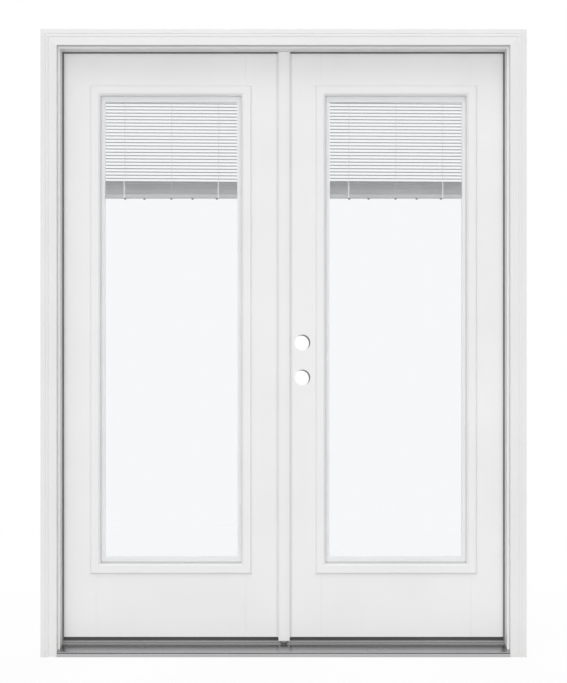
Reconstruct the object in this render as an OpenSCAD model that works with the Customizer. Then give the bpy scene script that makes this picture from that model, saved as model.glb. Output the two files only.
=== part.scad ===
// Inswing double patio door in its frame: two full-lite doors with a blind between the panes.
// +X is to the right seen from outside, +Y goes into the room and +Z is up.
// The origin is the middle of the sill, on the floor, in the plane of the jambs' outer edges.
// The left door is passive and carries the astragal; the right door is active and takes the lock.

/* [Door slabs] */
// Width of one door slab
slab_w = 757.2; // [640:0.1:860]
// Height of a door slab
slab_h = 1997.6; // [1900:0.1:2100]
// Thickness of a door slab
slab_t = 44.45; // [42:0.05:48]
// Width of a stile
stile_w = 123.6; // [110:0.1:140]
// Height of the top rail
top_rail_h = 141.4; // [120:0.1:180]
// Height of the bottom rail
bottom_rail_h = 234.6; // [200:0.1:280]
// Chamfer that makes the seam between a stile and a rail
seam = 0.8; // [0.4:0.1:1.5]
// Gap between the two slabs
centre_gap = 8; // [7:0.1:10]
// Gap between a slab and the jamb on its hinge side
hinge_gap = 3; // [2.6:0.1:4]
// Gap between a slab and the head
head_gap = 3.5; // [2.5:0.1:6]

/* [Jambs] */
// Thickness of a jamb
jamb_t = 31.75; // [28:0.05:36]
// Depth of a jamb, from outside to inside
jamb_d = 115.9; // [110:0.1:170]
// Depth of the rabbet that a slab closes into
rabbet_d = 12.7; // [11:0.1:15]
// Room between the stop and a closed slab, for the weatherstrip
seal_gap = 9; // [7:0.1:11]
// How far the head is let into each side jamb
head_let_in = 12; // [8:0.5:15]
// How far the weatherstrip stands past the stop
seal_proud = 5; // [3:0.1:7]
// Width of the kerf that holds the weatherstrip
kerf_w = 3; // [2.5:0.1:4]
// Depth of the kerf
kerf_d = 11; // [9:0.5:13]

/* [Brickmould] */
// Width of the brickmould
brick_w = 54; // [48:0.5:70]
// Thickness of the brickmould at its outer band
brick_t = 31.75; // [28:0.05:38]
// Width of the outer band
band_w = 14.4; // [10:0.1:18]
// Width of the bead beside the band
bead_w = 10; // [8:0.1:12]
// Width of the slope down from the band to the bead, and from the bead to the flat face
step_w = 2.8; // [2:0.1:5]
// Depth of each slope
step_d = 2.5; // [1:0.1:3]
// Jamb edge left showing inside the brickmould
reveal = 7; // [4:0.5:10]

/* [Threshold] */
// Height of the sill at its cap
sill_h = 40.5; // [37:0.5:46]
// How far the nose stands out in front of the jambs
nose_reach = 27; // [20:0.5:31]
// Height of the nose
nose_h = 11.5; // [8:0.5:13]
// Width of the groove above the nose
nose_groove = 3; // [2:0.5:4]
// Height of the lip where the slope starts
lip_z = 17; // [16.5:0.5:19]
// Height where the slope ends
slope_z = 29.5; // [24:0.5:29.5]
// Height of the ledge in front of the cap
ledge_z = 30; // [29:0.5:33]
// Width of the ledge in front of the cap
ledge_w = 14; // [10:0.5:18]
// Width of the sill cap
cap_w = 38; // [34:0.5:44]
// Depth of the channel that the cap sits in
cap_seat = 6; // [4:0.5:8]
// Height of the sill at its room edge
fall_z = 16; // [12:0.5:22]
// Thickness of the aluminium skin
skin = 2.2; // [1.6:0.1:3]
// Number of screws that set the height of the cap
cap_screw_n = 6; // [4:1:9]

/* [Lites] */
// How far a lite frame laps over the slab
lite_lap = 24; // [20:0.5:28]
// Width of a lite frame's face
lite_face = 39.3; // [37:0.1:44]
// How far a lite frame stands proud of the slab
lite_proud = 10; // [8:0.5:14]
// Radius of the cove along a lite frame's outer edge
lite_cove = 8.5; // [6:0.1:9]
// Width of the slope on the sight edge of a lite frame
lite_slope = 7; // [5:0.5:9]
// Thickness of the sealed glass unit
igu_t = 25.4; // [24:0.1:27]
// Thickness of a pane
pane_t = 3.2; // [3:0.1:4]
// Room between the glass unit and the cut-out
pane_room = 5; // [3:0.5:7]
// How much of the spacer shows inside the lite frame at the sides
spacer_show = 13.7; // [10:0.1:18]
// How much of the spacer shows inside the lite frame at the foot
spacer_foot = 21.4; // [12:0.1:26]

/* [Blinds] */
// Width of a slat
slat_w = 12.7; // [11.5:0.1:13.5]
// Thickness of a slat
slat_t = 0.5; // [0.4:0.05:0.8]
// Radius of a slat's crown
slat_crown = 30; // [20:1:60]
// Tilt of the slats from level
slat_tilt = 9; // [4:1:30]
// Distance from one hanging slat to the next
slat_pitch = 11.15; // [10:0.05:12]
// Number of slats that hang in the raised position
slat_n = 24; // [18:1:30]
// Gap between the head rail and the raised corner of the first slat
slat_gap = 0.3; // [0.2:0.1:2]
// Fall of the blind from left to right, in degrees
blind_lean = 0.36; // [0:0.02:0.5]
// Height of the bunch of raised slats
bunch_h = 45.3; // [36:0.1:50]
// Height of the bottom rail
rail_h = 14.5; // [12:0.5:18]
// Height of the head rail
head_rail_h = 19.3; // [18:0.1:24]
// Gap between a blind's ends and the spacer
blind_room = 1.5; // [1:0.1:4]
// Distance of the ladder cords from the middle of the blind
ladder_x = 160; // [120:1:180]
// Height of the middle of the operator's slider above the sight opening's foot
slider_rise = 330; // [300:5:600]

/* [Astragal] */
// Width of the astragal
astragal_w = 38; // [34:0.5:44]
// How far the astragal laps over the active slab
astragal_lap = 17; // [16:0.5:20]
// How far the astragal stands proud
astragal_proud = 16; // [12:0.5:17]
// Thickness of the stem between the slabs
stem_t = 3; // [2:0.1:3.5]
// Room between the astragal and the active slab
astragal_room = 0.4; // [0.3:0.05:1]

/* [Hinges and bolts] */
// Height of a hinge
hinge_h = 101.6; // [88:0.1:115]
// Width of a hinge leaf
leaf_w = 36; // [32:0.5:40]
// Thickness of a hinge leaf
leaf_t = 2.4; // [2:0.1:3]
// Radius of a hinge leaf's corners
leaf_r = 15.9; // [6:0.1:16]
// Radius of the hinge barrel
barrel_r = 6.35; // [5.8:0.05:7]
// Radius of the hinge pin
pin_r = 3.15; // [2.8:0.05:3.5]
// Drop of the top hinge's middle below the top of the slab
hinge_drop = 230; // [180:5:280]
// Rise of the bottom hinge's middle above the foot of the slab
hinge_rise = 280; // [200:5:320]
// Radius of a flush bolt
bolt_r = 4; // [3.5:0.1:5]
// Length of a flush bolt
bolt_len = 150; // [120:1:180]
// Throw of a flush bolt
bolt_throw = 18; // [17:0.5:18.5]

/* [Lock bores] */
// Radius of the lock bores
lock_r = 26.99; // [25:0.01:28]
// Distance from the slab's edge to the middle of the lock bores
backset = 60.3; // [58:0.1:70]
// Height of the lower lock bore above the foot of the slab
latch_rise = 881.9; // [840:0.1:960]
// Distance between the two lock bores
lock_pitch = 119.4; // [110:0.1:140]
// Radius of the latch bores in the slab's edge
latch_r = 12.7; // [11:0.1:13]

/* [Hidden] */
$fn = 48;

// Clearances
run_fit = 0.05;
free_fit = 0.2;
slide_room = 0.4;
sweep_room = 0.5;
lite_room = 0.5;
hinge_room = 0.5;
mitre_joint = 0.05;
// Length by which a cut runs past a face
past = 1;

// Frame, seen from above
slab_in_x = centre_gap / 2;
slab_out_x = slab_in_x + slab_w;
slab_mid_x = slab_in_x + slab_w / 2;
rabbet_x = slab_out_x + hinge_gap;
stop_x = rabbet_x - rabbet_d;
jamb_back_x = stop_x + jamb_t;
brick_in_x = stop_x + reveal;
brick_out_x = brick_in_x + brick_w;
slab_y0 = jamb_d - slab_t;
slab_mid_y = jamb_d - slab_t / 2;
stop_y = slab_y0 - seal_gap;

// Heights
sweep_h = 11.9 - sweep_room;
sweep_z0 = sill_h + sweep_room;
slab_z0 = sweep_z0 + sweep_h;
slab_z1 = slab_z0 + slab_h;
rabbet_z = slab_z1 + head_gap;
stop_z = rabbet_z - rabbet_d;
jamb_top = stop_z + jamb_t;
brick_in_z = stop_z + reveal;
brick_out_z = brick_in_z + brick_w;

// Kerf in the stop, midway between its corner and the rabbet
kerf_in = rabbet_d * 0.45;

// Threshold
cap_y1 = slab_mid_y + 3;
cap_y0 = cap_y1 - cap_w;
ledge_y = cap_y0 - ledge_w;
cap_z0 = ledge_z - cap_seat;
nose_in = 8;
cap_screw_r = 2.5;
cap_screw_head_r = 5;
cap_screw_head_h = 3;
cap_screw_len = 24;

// Lite
cut_half = slab_w / 2 - stile_w;
cut_z0 = slab_z0 + bottom_rail_h;
cut_z1 = slab_z1 - top_rail_h;
cut_mid_z = (cut_z0 + cut_z1) / 2;
lite_w = 2 * (cut_half + lite_lap);
lite_h = cut_z1 - cut_z0 + 2 * lite_lap;
sight_half = cut_half + lite_lap - lite_face;
sight_z0 = cut_z0 - lite_lap + lite_face;
sight_z1 = cut_z1 + lite_lap - lite_face;
pane_half = cut_half - pane_room;
pane_z0 = cut_z0 + pane_room;
pane_z1 = cut_z1 - pane_room;
igu_y0 = slab_mid_y - igu_t / 2;
igu_y1 = slab_mid_y + igu_t / 2;
lite_seat = igu_y0 - slab_y0;
spacer_edge = 3;
spacer_half = sight_half - spacer_show;
spacer_z0 = sight_z0 + spacer_foot;

// Blind
blind_half = spacer_half - blind_room;
head_rail_z1 = sight_z1 - 1;
head_rail_z0 = head_rail_z1 - head_rail_h;
head_rail_half = sight_half + 1;
head_rail_d = 15;
slat_drop = slat_gap + slat_w / 2 * sin(slat_tilt) + blind_half * sin(blind_lean);
last_slat_z = head_rail_z0 - slat_drop - (slat_n - 1) * slat_pitch;
bunch_z1 = last_slat_z - 0.75 * slat_pitch;
bunch_z0 = bunch_z1 - bunch_h;
rail_z0 = bunch_z0 - rail_h;
bunch_d = 13;
bunch_ridges = 22;
ridge_d = 0.8;
rail_d = 14;
rail_r = 3;
ladder_cord = 0.9;
ladder_y = slat_w * cos(slat_tilt) / 2 + slat_t + ladder_cord / 2 + free_fit;
plug_xs = [-158, -92, 0, 72, 155];
plug_r = 3.5;
plug_h = 3;

// Slider of the blind's operator, in a track on the room side of the lite frame
track_w = 5;
track_d = 3;
track_u = lite_lap + 2;
slider_w = 14;
slider_h = 46;
slider_t = 9;
slider_z = sight_z0 + slider_rise;

// Astragal
astragal_mid_x = slab_in_x + astragal_lap - astragal_w / 2;
astragal_z1 = stop_z - sweep_room;
astragal_edge = 12;
seal_bead_w = 5;
seal_bead_d = 2.5;
seal_bead_x = slab_in_x + 8;

// Hinges: the pin stands midway between slab and jamb, clear of the room face
hinge_x = slab_out_x + hinge_gap / 2;
hinge_y = jamb_d + barrel_r + hinge_room;
hinge_zs = [slab_z0 + hinge_rise, (slab_z0 + hinge_rise + slab_z1 - hinge_drop) / 2, slab_z1 - hinge_drop];
knuckle_n = 5;
knuckle_h = (hinge_h - (knuckle_n - 1) * slide_room) / knuckle_n;
pin_head_r = 5;
pin_head_h = 3;

// Flush bolts
bolt_x = -slab_in_x - 14;
bolt_y = slab_mid_y - 8;
bolt_sink = 1;
tab_w = 6;
tab_h = 12;
tab_drop = 110;
strike_t = 1.5;
strike_w = 24;
strike_h = 60;
strike_r = bolt_r + 0.6;

// Lock
lock_x = slab_in_x + backset;
latch_z = slab_z0 + latch_rise;
lock_zs = [latch_z, latch_z + lock_pitch];
faceplate_w = 25.4;
faceplate_h = 57.2;
faceplate_t = 3;

// Shared shapes

// Takes a round of radius r off a corner at the origin, on a shape that lies towards +x and +y
module corner_cut(r) {
    difference() {
        translate([-past, -past]) square(r + past);
        translate([r, r]) circle(r);
    }
}

module round_rect(w, h, r) {
    difference() {
        square([w, h]);
        corner_cut(r);
        translate([w, 0]) mirror([1, 0]) corner_cut(r);
        translate([0, h]) mirror([0, 1]) corner_cut(r);
        translate([w, h]) rotate(180) corner_cut(r);
    }
}

// Runs a section, drawn in Y and Z, along X
module run_x(x0, x1) {
    translate([x0, 0, 0]) rotate([90, 0, 90]) linear_extrude(x1 - x0) children();
}

// Runs a section, drawn in X and Y, along Z
module run_z(z0, z1) {
    translate([0, 0, z0]) linear_extrude(z1 - z0) children();
}

// Gives an outline, drawn in X and Z, a thickness along Y
module run_y(y0, y1) {
    translate([0, y1, 0]) rotate([90, 0, 0]) linear_extrude(y1 - y0) children();
}

// One mitred side of a ring: its outer edge lies along X at Z = 0, its section is drawn in Y and Z
module mitred_side(run, face) {
    reach = slab_t + brick_t;
    half = run / 2 - mitre_joint;
    intersection() {
        run_x(-half, half) children();
        run_y(-reach, reach) polygon([[-half, 0], [half, 0], [half - face, face], [face - half, face]]);
    }
}

module mitred_ring(w, h, face) {
    translate([0, 0, -h / 2]) mitred_side(w, face) children();
    translate([0, 0, h / 2]) rotate([0, 180, 0]) mitred_side(w, face) children();
    translate([-w / 2, 0, 0]) rotate([0, 90, 0]) mitred_side(h, face) children();
    translate([w / 2, 0, 0]) rotate([0, -90, 0]) mitred_side(h, face) children();
}

// Places what is drawn for the right side on either side: 1 is right, -1 is left
module on_side(side) {
    mirror([side < 0 ? 1 : 0, 0, 0]) children();
}

// Jambs

module jamb_section() {
    difference() {
        polygon([[stop_x, 0], [jamb_back_x, 0], [jamb_back_x, jamb_d], [rabbet_x, jamb_d],
            [rabbet_x, stop_y], [stop_x, stop_y]]);
        translate([stop_x + kerf_in, stop_y - kerf_d]) square([kerf_w, kerf_d + past]);
    }
}

module head_section() {
    difference() {
        polygon([[0, stop_z], [stop_y, stop_z], [stop_y, rabbet_z], [jamb_d, rabbet_z],
            [jamb_d, jamb_top], [0, jamb_top]]);
        translate([stop_y - kerf_d, stop_z + kerf_in]) square([kerf_d + past, kerf_w]);
    }
}

// The head's own outline without its kerf, which the side jambs are cut back for
module head_seat() {
    polygon([[-past, stop_z], [stop_y, stop_z], [stop_y, rabbet_z], [jamb_d + past, rabbet_z],
        [jamb_d + past, jamb_top + past], [-past, jamb_top + past]]);
}

module side_jamb(side) {
    color("white") on_side(side) difference() {
        run_z(0, jamb_top) jamb_section();
        run_x(0, stop_x + head_let_in + rabbet_d) head_seat();
        leaf_mortises(rabbet_x, 1);
    }
}

module head_jamb() {
    half = stop_x + head_let_in + rabbet_d;
    color("white") difference() {
        run_x(-half, half) head_section();
        translate([bolt_x, bolt_y, rabbet_z - past]) cylinder(r = strike_r, h = bolt_throw + past);
        translate([bolt_x - strike_h / 2, bolt_y - strike_w / 2, rabbet_z - past])
            cube([strike_h, strike_w, strike_t + past]);
    }
}

module head_strike() {
    color("silver") translate([bolt_x, bolt_y, rabbet_z]) difference() {
        translate([-strike_h / 2, -strike_w / 2, 0]) cube([strike_h, strike_w, strike_t]);
        translate([0, 0, -past]) cylinder(r = strike_r, h = strike_t + 2 * past);
    }
}

// Brickmould: flat face, crowned bead and outer band, each a step higher, from its inner edge outwards
module brick_section() {
    band_x = brick_w - band_w;
    bead_x = band_x - bead_w;
    bead_t = brick_t - step_d;
    flat_t = bead_t - step_d;
    edge_r = 3;
    crown = 0.8;
    bead_half = (bead_w - step_w) / 2;
    bead_r = (bead_half * bead_half + crown * crown) / (2 * crown);
    difference() {
        union() {
            polygon([[0, 0], [brick_w, 0], [brick_w, brick_t], [band_x, brick_t],
                [band_x - step_w, bead_t], [bead_x, bead_t], [bead_x - step_w, flat_t], [0, flat_t]]);
            intersection() {
                translate([bead_x, 0]) square([2 * bead_half, brick_t]);
                translate([bead_x + bead_half, bead_t + crown - bead_r]) circle(bead_r);
            }
        }
        translate([0, flat_t]) mirror([0, 1]) corner_cut(edge_r);
        translate([brick_w, brick_t]) rotate(180) corner_cut(edge_r);
    }
}

module side_brickmould(side) {
    color("white") on_side(side) intersection() {
        run_z(0, brick_out_z) translate([brick_in_x, 0]) mirror([0, 1]) brick_section();
        run_y(-brick_t - past, past) polygon([[brick_in_x, 0], [brick_out_x, 0],
            [brick_out_x, brick_out_z], [brick_in_x, brick_in_z]]);
    }
}

module head_brickmould() {
    color("white") intersection() {
        run_x(-brick_out_x, brick_out_x)
            translate([0, brick_in_z]) rotate(90) brick_section();
        run_y(-brick_t - past, past) polygon([[-brick_out_x, brick_out_z], [brick_out_x, brick_out_z],
            [brick_in_x, brick_in_z], [-brick_in_x, brick_in_z]]);
    }
}

// Weatherstrip: a foam bulb with a barb in the kerf, drawn with the stop's face at y = 0

module seal_bulb() {
    bulb_w = seal_proud + rabbet_d - 1;
    bulb_d = seal_gap - slide_room;
    translate([-seal_proud, 0]) round_rect(bulb_w, bulb_d, bulb_d * 0.4);
}

module seal_barb() {
    translate([kerf_in + free_fit, 1 - kerf_d]) square([kerf_w - 2 * free_fit, kerf_d]);
}

module side_weatherstrip(side) {
    color("dimgray") on_side(side) {
        run_z(sweep_z0, rabbet_z) translate([stop_x, stop_y]) seal_bulb();
        run_z(sweep_z0, stop_z) translate([stop_x, stop_y]) seal_barb();
    }
}

// The head strip leaves a gap where the astragal stands under the head
module head_weatherstrip() {
    half = stop_x - seal_proud - free_fit;
    gap = astragal_w / 2 + 3;
    color("dimgray") for (run = [[-half, astragal_mid_x - gap], [astragal_mid_x + gap, half]])
        run_x(run[0], run[1]) translate([stop_y, stop_z]) mirror([1, -1]) {
            seal_bulb();
            seal_barb();
        }
}

module corner_pads() {
    pad_t = hinge_gap - 0.6;
    pad_h = 50;
    pad_w = 30;
    color("dimgray") for (side = [-1, 1]) on_side(side)
        translate([rabbet_x - pad_t, slab_y0 + 2, sweep_z0]) cube([pad_t, pad_w, pad_h]);
}

// Threshold: the sections run from the nose to the room edge

// Plan of the sill: it fits round the stops and between the legs of the brickmould
module sill_plan(z1) {
    right = [[brick_in_x, -nose_reach], [brick_in_x, 0], [stop_x, 0], [stop_x, stop_y],
        [rabbet_x, stop_y], [rabbet_x, jamb_d]];
    left = [for (i = [len(right) - 1:-1:0]) [-right[i][0], right[i][1]]];
    linear_extrude(z1) polygon(concat(right, left));
}

module deck_outline() {
    groove_z = nose_h + nose_groove;
    polygon([[-nose_reach, 0], [-nose_reach, nose_h], [nose_in - nose_reach, nose_h],
        [nose_in - nose_reach, groove_z], [-nose_reach, groove_z], [-nose_reach, lip_z - 1],
        [1 - nose_reach, lip_z], [ledge_y, slope_z], [ledge_y, ledge_z],
        [cap_y0, ledge_z], [cap_y0, cap_z0], [cap_y1, cap_z0], [cap_y1, ledge_z],
        [cap_y1 + 3, ledge_z], [jamb_d, fall_z], [jamb_d, 0]]);
}

module base_outline() {
    base_y0 = nose_in + skin - nose_reach;
    base_y1 = jamb_d - skin;
    polygon([[base_y0, 0], [base_y0, lip_z - skin], [ledge_y + skin, slope_z - skin],
        [ledge_y + skin, ledge_z - skin], [cap_y0 - skin, ledge_z - skin], [cap_y0 - skin, cap_z0 - skin],
        [cap_y1 + skin, cap_z0 - skin], [cap_y1 + skin, ledge_z - skin], [base_y1, fall_z - skin],
        [base_y1, 0]]);
}

module cap_outline() {
    edge = 3;
    difference() {
        translate([cap_y0, cap_z0]) square([cap_w, sill_h - cap_z0]);
        translate([cap_y0, sill_h]) mirror([0, 1]) corner_cut(edge);
        translate([cap_y1, sill_h]) rotate(180) corner_cut(edge);
    }
}

function cap_screw_xs() = [for (i = [0:cap_screw_n - 1]) stop_x * (2 * i + 1 - cap_screw_n) / cap_screw_n];

module at_cap_screws() {
    for (x = cap_screw_xs()) translate([x, (cap_y0 + cap_y1) / 2, sill_h]) children();
}

module cap_screw_holes() {
    at_cap_screws() {
        translate([0, 0, -cap_screw_len - past]) cylinder(r = cap_screw_r + free_fit, h = cap_screw_len);
        translate([0, 0, -cap_screw_head_h]) cylinder(r = cap_screw_head_r + free_fit, h = sill_h);
    }
}

module sill_base() {
    color("tan") difference() {
        intersection() {
            run_x(-rabbet_x, rabbet_x) base_outline();
            sill_plan(sill_h);
        }
        cap_screw_holes();
    }
}

module sill_deck() {
    color("silver") difference() {
        intersection() {
            run_x(-rabbet_x, rabbet_x) difference() {
                deck_outline();
                base_outline();
            }
            sill_plan(sill_h);
        }
        cap_screw_holes();
    }
}

module sill_cap() {
    color("gray") difference() {
        intersection() {
            run_x(-rabbet_x, rabbet_x) cap_outline();
            sill_plan(sill_h + past);
        }
        cap_screw_holes();
        translate([bolt_x, bolt_y, slab_z0 - bolt_throw - past]) cylinder(r = strike_r, h = bolt_throw);
    }
}

module cap_screws() {
    drive_w = 1.4;
    drive_d = 1.5;
    drive_len = 6;
    color("silver") at_cap_screws() difference() {
        union() {
            translate([0, 0, -cap_screw_len]) cylinder(r = cap_screw_r, h = cap_screw_len);
            translate([0, 0, -cap_screw_head_h]) cylinder(r = cap_screw_head_r, h = cap_screw_head_h);
        }
        for (turn = [0, 90]) rotate(turn)
            translate([-drive_len / 2, -drive_w / 2, -drive_d]) cube([drive_len, drive_w, drive_d + past]);
    }
}

// Hinges, drawn for the right side

// Leaf plate against the plane x, standing towards +X for the jamb (way 1) or -X for the slab (way -1)
module leaf_plate(x, way, room) {
    face_y = hinge_y - barrel_r - slide_room;
    x0 = way > 0 ? x : x - leaf_t;
    depth = leaf_w - barrel_r + room;
    translate([x0, face_y - depth, 0]) rotate([90, 0, 90]) linear_extrude(leaf_t)
        difference() {
            translate([0, -hinge_h / 2 - room]) square([depth, hinge_h + 2 * room]);
            translate([0, -hinge_h / 2 - room]) corner_cut(leaf_r);
            translate([0, hinge_h / 2 + room]) mirror([0, 1]) corner_cut(leaf_r);
        }
}

module leaf_mortises(x, way) {
    for (z = hinge_zs) translate([0, 0, z]) leaf_plate(x, way, free_fit);
}

// Leaf with the knuckles first, first + 2 and so on
module hinge_leaf(x, way, first) {
    x0 = way > 0 ? x : x - leaf_t;
    face_y = hinge_y - barrel_r - slide_room;
    difference() {
        union() {
            leaf_plate(x, way, 0);
            for (k = [first:2:knuckle_n - 1]) translate([0, 0, k * (knuckle_h + slide_room) - hinge_h / 2]) {
                translate([hinge_x, hinge_y, 0]) cylinder(r = barrel_r, h = knuckle_h);
                translate([x0, face_y, 0]) cube([leaf_t, hinge_y - face_y, knuckle_h]);
            }
        }
        translate([hinge_x, hinge_y, -hinge_h]) cylinder(r = pin_r + run_fit, h = 2 * hinge_h);
    }
}

module frame_leaves(side) {
    color("goldenrod") on_side(side) for (z = hinge_zs) translate([0, 0, z]) hinge_leaf(rabbet_x, 1, 0);
}

module slab_leaves(side) {
    color("goldenrod") on_side(side) for (z = hinge_zs) translate([0, 0, z]) hinge_leaf(slab_out_x, -1, 1);
}

module hinge_pins(side) {
    color("goldenrod") on_side(side) for (z = hinge_zs) translate([hinge_x, hinge_y, z]) {
        translate([0, 0, -hinge_h / 2]) cylinder(r = pin_r, h = hinge_h + pin_head_h);
        translate([0, 0, hinge_h / 2]) cylinder(r = pin_head_r, h = pin_head_h);
    }
}

// Door slabs, drawn for the right side

module hinge_stile(side) {
    color("white") on_side(side) difference() {
        run_z(slab_z0, slab_z1) translate([slab_out_x - stile_w, slab_y0]) square([stile_w, slab_t]);
        leaf_mortises(slab_out_x, -1);
    }
}

module plain_lock_stile() {
    run_z(slab_z0, slab_z1) translate([slab_in_x, slab_y0]) square([stile_w, slab_t]);
}

module active_lock_stile() {
    color("white") difference() {
        plain_lock_stile();
        for (z = lock_zs) {
            translate([lock_x, slab_y0 - past, z]) rotate([-90, 0, 0])
                cylinder(r = lock_r, h = slab_t + 2 * past);
            translate([slab_in_x - past, slab_mid_y, z]) rotate([0, 90, 0])
                cylinder(r = latch_r, h = backset + past);
            translate([slab_in_x - past, slab_mid_y - faceplate_w / 2, z - faceplate_h / 2])
                cube([faceplate_t + past, faceplate_w, faceplate_h]);
        }
    }
}

// Room for a flush bolt and its thumb tab, drawn for the top bolt with the slab's end at Z = 0
module bolt_room() {
    cylinder(r = bolt_r + run_fit, h = 2 * (bolt_len + 2 * bolt_sink), center = true);
    translate([0, -tab_w / 2 - free_fit, -tab_drop - slide_room])
        cube([-slab_in_x - bolt_x + past, tab_w + 2 * free_fit, tab_h + bolt_throw + 2 * slide_room]);
}

module bolt() {
    translate([0, 0, -bolt_len - bolt_sink]) cylinder(r = bolt_r, h = bolt_len);
    translate([0, -tab_w / 2, -tab_drop]) cube([-slab_in_x - bolt_x - slide_room, tab_w, tab_h]);
}

module at_top_bolt() {
    translate([bolt_x, bolt_y, slab_z1]) children();
}

module at_bottom_bolt() {
    translate([bolt_x, bolt_y, slab_z0]) mirror([0, 0, 1]) children();
}

module passive_lock_stile() {
    color("white") difference() {
        on_side(-1) plain_lock_stile();
        at_top_bolt() bolt_room();
        at_bottom_bolt() bolt_room();
    }
}

module top_bolt() {
    color("silver") at_top_bolt() bolt();
}

module bottom_bolt() {
    color("silver") at_bottom_bolt() bolt();
}

// A rail's edges are chamfered on both faces, which shows as a fine seam beside each stile
module rail(side, z0, z1) {
    color("white") on_side(side) run_z(z0, z1) translate([slab_mid_x, slab_y0])
        polygon([[-cut_half, seam], [seam - cut_half, 0], [cut_half - seam, 0], [cut_half, seam],
            [cut_half, slab_t - seam], [cut_half - seam, slab_t], [seam - cut_half, slab_t],
            [-cut_half, slab_t - seam]]);
}

module top_rail(side) {
    rail(side, cut_z1, slab_z1);
}

module bottom_rail(side) {
    rail(side, slab_z0, cut_z0);
}

// Sweep under the slab, with a groove along its outer face and three fins
module sweep(side) {
    fin_t = 4;
    base_h = 5;
    front = slab_y0 + 2;
    back = slab_y0 + slab_t - 4;
    color("dimgray") difference() {
        on_side(side) run_x(slab_in_x + past, slab_out_x - past) {
            translate([front, slab_z0 - base_h]) square([back - front, base_h]);
            for (y = [front, (front + back) / 2 + 4, back - fin_t])
                translate([y, sweep_z0]) square([fin_t, sweep_h - base_h - 1.5]);
            for (y = [front + 1.5, (front + back) / 2 + 5, back - fin_t + 1])
                translate([y, sweep_z0]) square([fin_t - 2.5, sweep_h]);
        }
        if (side < 0) translate([bolt_x, bolt_y, 0]) cylinder(r = strike_r, h = slab_z0 + past);
    }
}

// Glass units and lite frames

// Section of a lite frame: y = 0 is the slab's face, z = 0 its outer edge; two legs reach to the glass
module lite_section() {
    leg = 3;
    leg_z = lite_lap + lite_room;
    wall = 3;
    difference() {
        union() {
            difference() {
                translate([-lite_proud, 0]) square([lite_proud, lite_face - lite_slope]);
                translate([-lite_proud, 0]) circle(lite_cove);
            }
            polygon([[-lite_proud, lite_face - lite_slope], [0, lite_face - lite_slope],
                [0, lite_face], [lite_slope - lite_proud - 1, lite_face]]);
            translate([-past, leg_z]) square([lite_seat + past, lite_face - leg_z]);
        }
        translate([wall - lite_proud, leg_z + leg])
            square([lite_proud + lite_seat, lite_face - leg_z - leg - lite_slope]);
    }
}

module lite_ring() {
    mitred_ring(lite_w, lite_h, lite_face) lite_section();
}

module outer_lite_frame(side) {
    color("white") on_side(side) translate([slab_mid_x, slab_y0, cut_mid_z]) lite_ring();
}

// The room side has a track beside the sight opening for the blind's slider
module inner_lite_frame(side) {
    color("white") on_side(side) difference() {
        translate([slab_mid_x, jamb_d, cut_mid_z]) mirror([0, 1, 0]) lite_ring();
        translate([slider_x() - track_w / 2, jamb_d + lite_proud - track_d, sight_z0])
            cube([track_w, track_d + past, sight_z1 - sight_z0]);
    }
}

function slider_x() = slab_mid_x + cut_half + lite_lap - track_u + track_w;

module blind_slider(side) {
    grip_r = 3;
    color("whitesmoke") on_side(side) translate([slider_x(), jamb_d + lite_proud + slide_room, slider_z]) {
        translate([-slider_w / 2, 0, -slider_h / 2]) rotate([90, 0, 0]) translate([0, 0, -slider_t])
            linear_extrude(slider_t) round_rect(slider_w, slider_h, grip_r);
        translate([slide_room - track_w / 2, -track_d, -slider_h / 2])
            cube([track_w - 2 * slide_room, track_d + past, slider_h]);
    }
}

module pane(side, y0) {
    color("lightcyan", 0.5) on_side(side) translate([slab_mid_x, 0, 0])
        run_y(y0, y0 + pane_t) translate([-pane_half, pane_z0]) square([2 * pane_half, pane_z1 - pane_z0]);
}

module outer_pane(side) {
    pane(side, igu_y0);
}

module inner_pane(side) {
    pane(side, igu_y1 - pane_t);
}

// Spacer: it steps out at the top to take the head rail
module spacer(side) {
    color("white") on_side(side) translate([slab_mid_x, 0, 0]) run_y(igu_y0 + pane_t, igu_y1 - pane_t)
        difference() {
            translate([spacer_edge - pane_half, pane_z0 + spacer_edge])
                square([2 * (pane_half - spacer_edge), pane_z1 - pane_z0 - 2 * spacer_edge]);
            translate([-spacer_half, spacer_z0]) square([2 * spacer_half, head_rail_z0 - spacer_z0 + past]);
            translate([-head_rail_half, head_rail_z0])
                square([2 * head_rail_half, head_rail_h]);
        }
}

// Blinds, drawn round the middle of the glass unit

module at_blind(side) {
    translate([side * slab_mid_x, slab_mid_y, 0]) children();
}

// Lets what is drawn fall a little from left to right, about the middle of the blind at height z
module leaning(z) {
    translate([0, 0, z]) rotate([0, blind_lean, 0]) children();
}

module blind_head_rail(side) {
    wall = 2;
    color("white") at_blind(side) run_x(-head_rail_half, head_rail_half) difference() {
        translate([-head_rail_d / 2, head_rail_z0]) round_rect(head_rail_d, head_rail_h, wall);
        translate([wall - head_rail_d / 2, head_rail_z0 + 2 * wall])
            square([head_rail_d - 2 * wall, head_rail_h]);
    }
}

module slat_section() {
    rotate(-slat_tilt) translate([0, -slat_crown]) intersection() {
        difference() {
            circle(slat_crown + slat_t);
            circle(slat_crown);
        }
        translate([-slat_w / 2, 0]) square([slat_w, 2 * slat_crown]);
    }
}

module blind_slats(side) {
    color("white") at_blind(side) for (i = [0:slat_n - 1])
        leaning(last_slat_z + i * slat_pitch)
            run_x(-blind_half, blind_half) slat_section();
}

// Each cord ends where its loop on the bunch starts
module blind_ladders(side) {
    color("white") at_blind(side) for (x = [-ladder_x, 0, ladder_x], y = [-ladder_y, ladder_y]) {
        foot_z = bunch_z1 - x * tan(blind_lean) + slide_room;
        translate([x - ladder_cord / 2, y - ladder_cord / 2, foot_z])
            cube([ladder_cord, ladder_cord, head_rail_z0 - foot_z]);
    }
}

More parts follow.
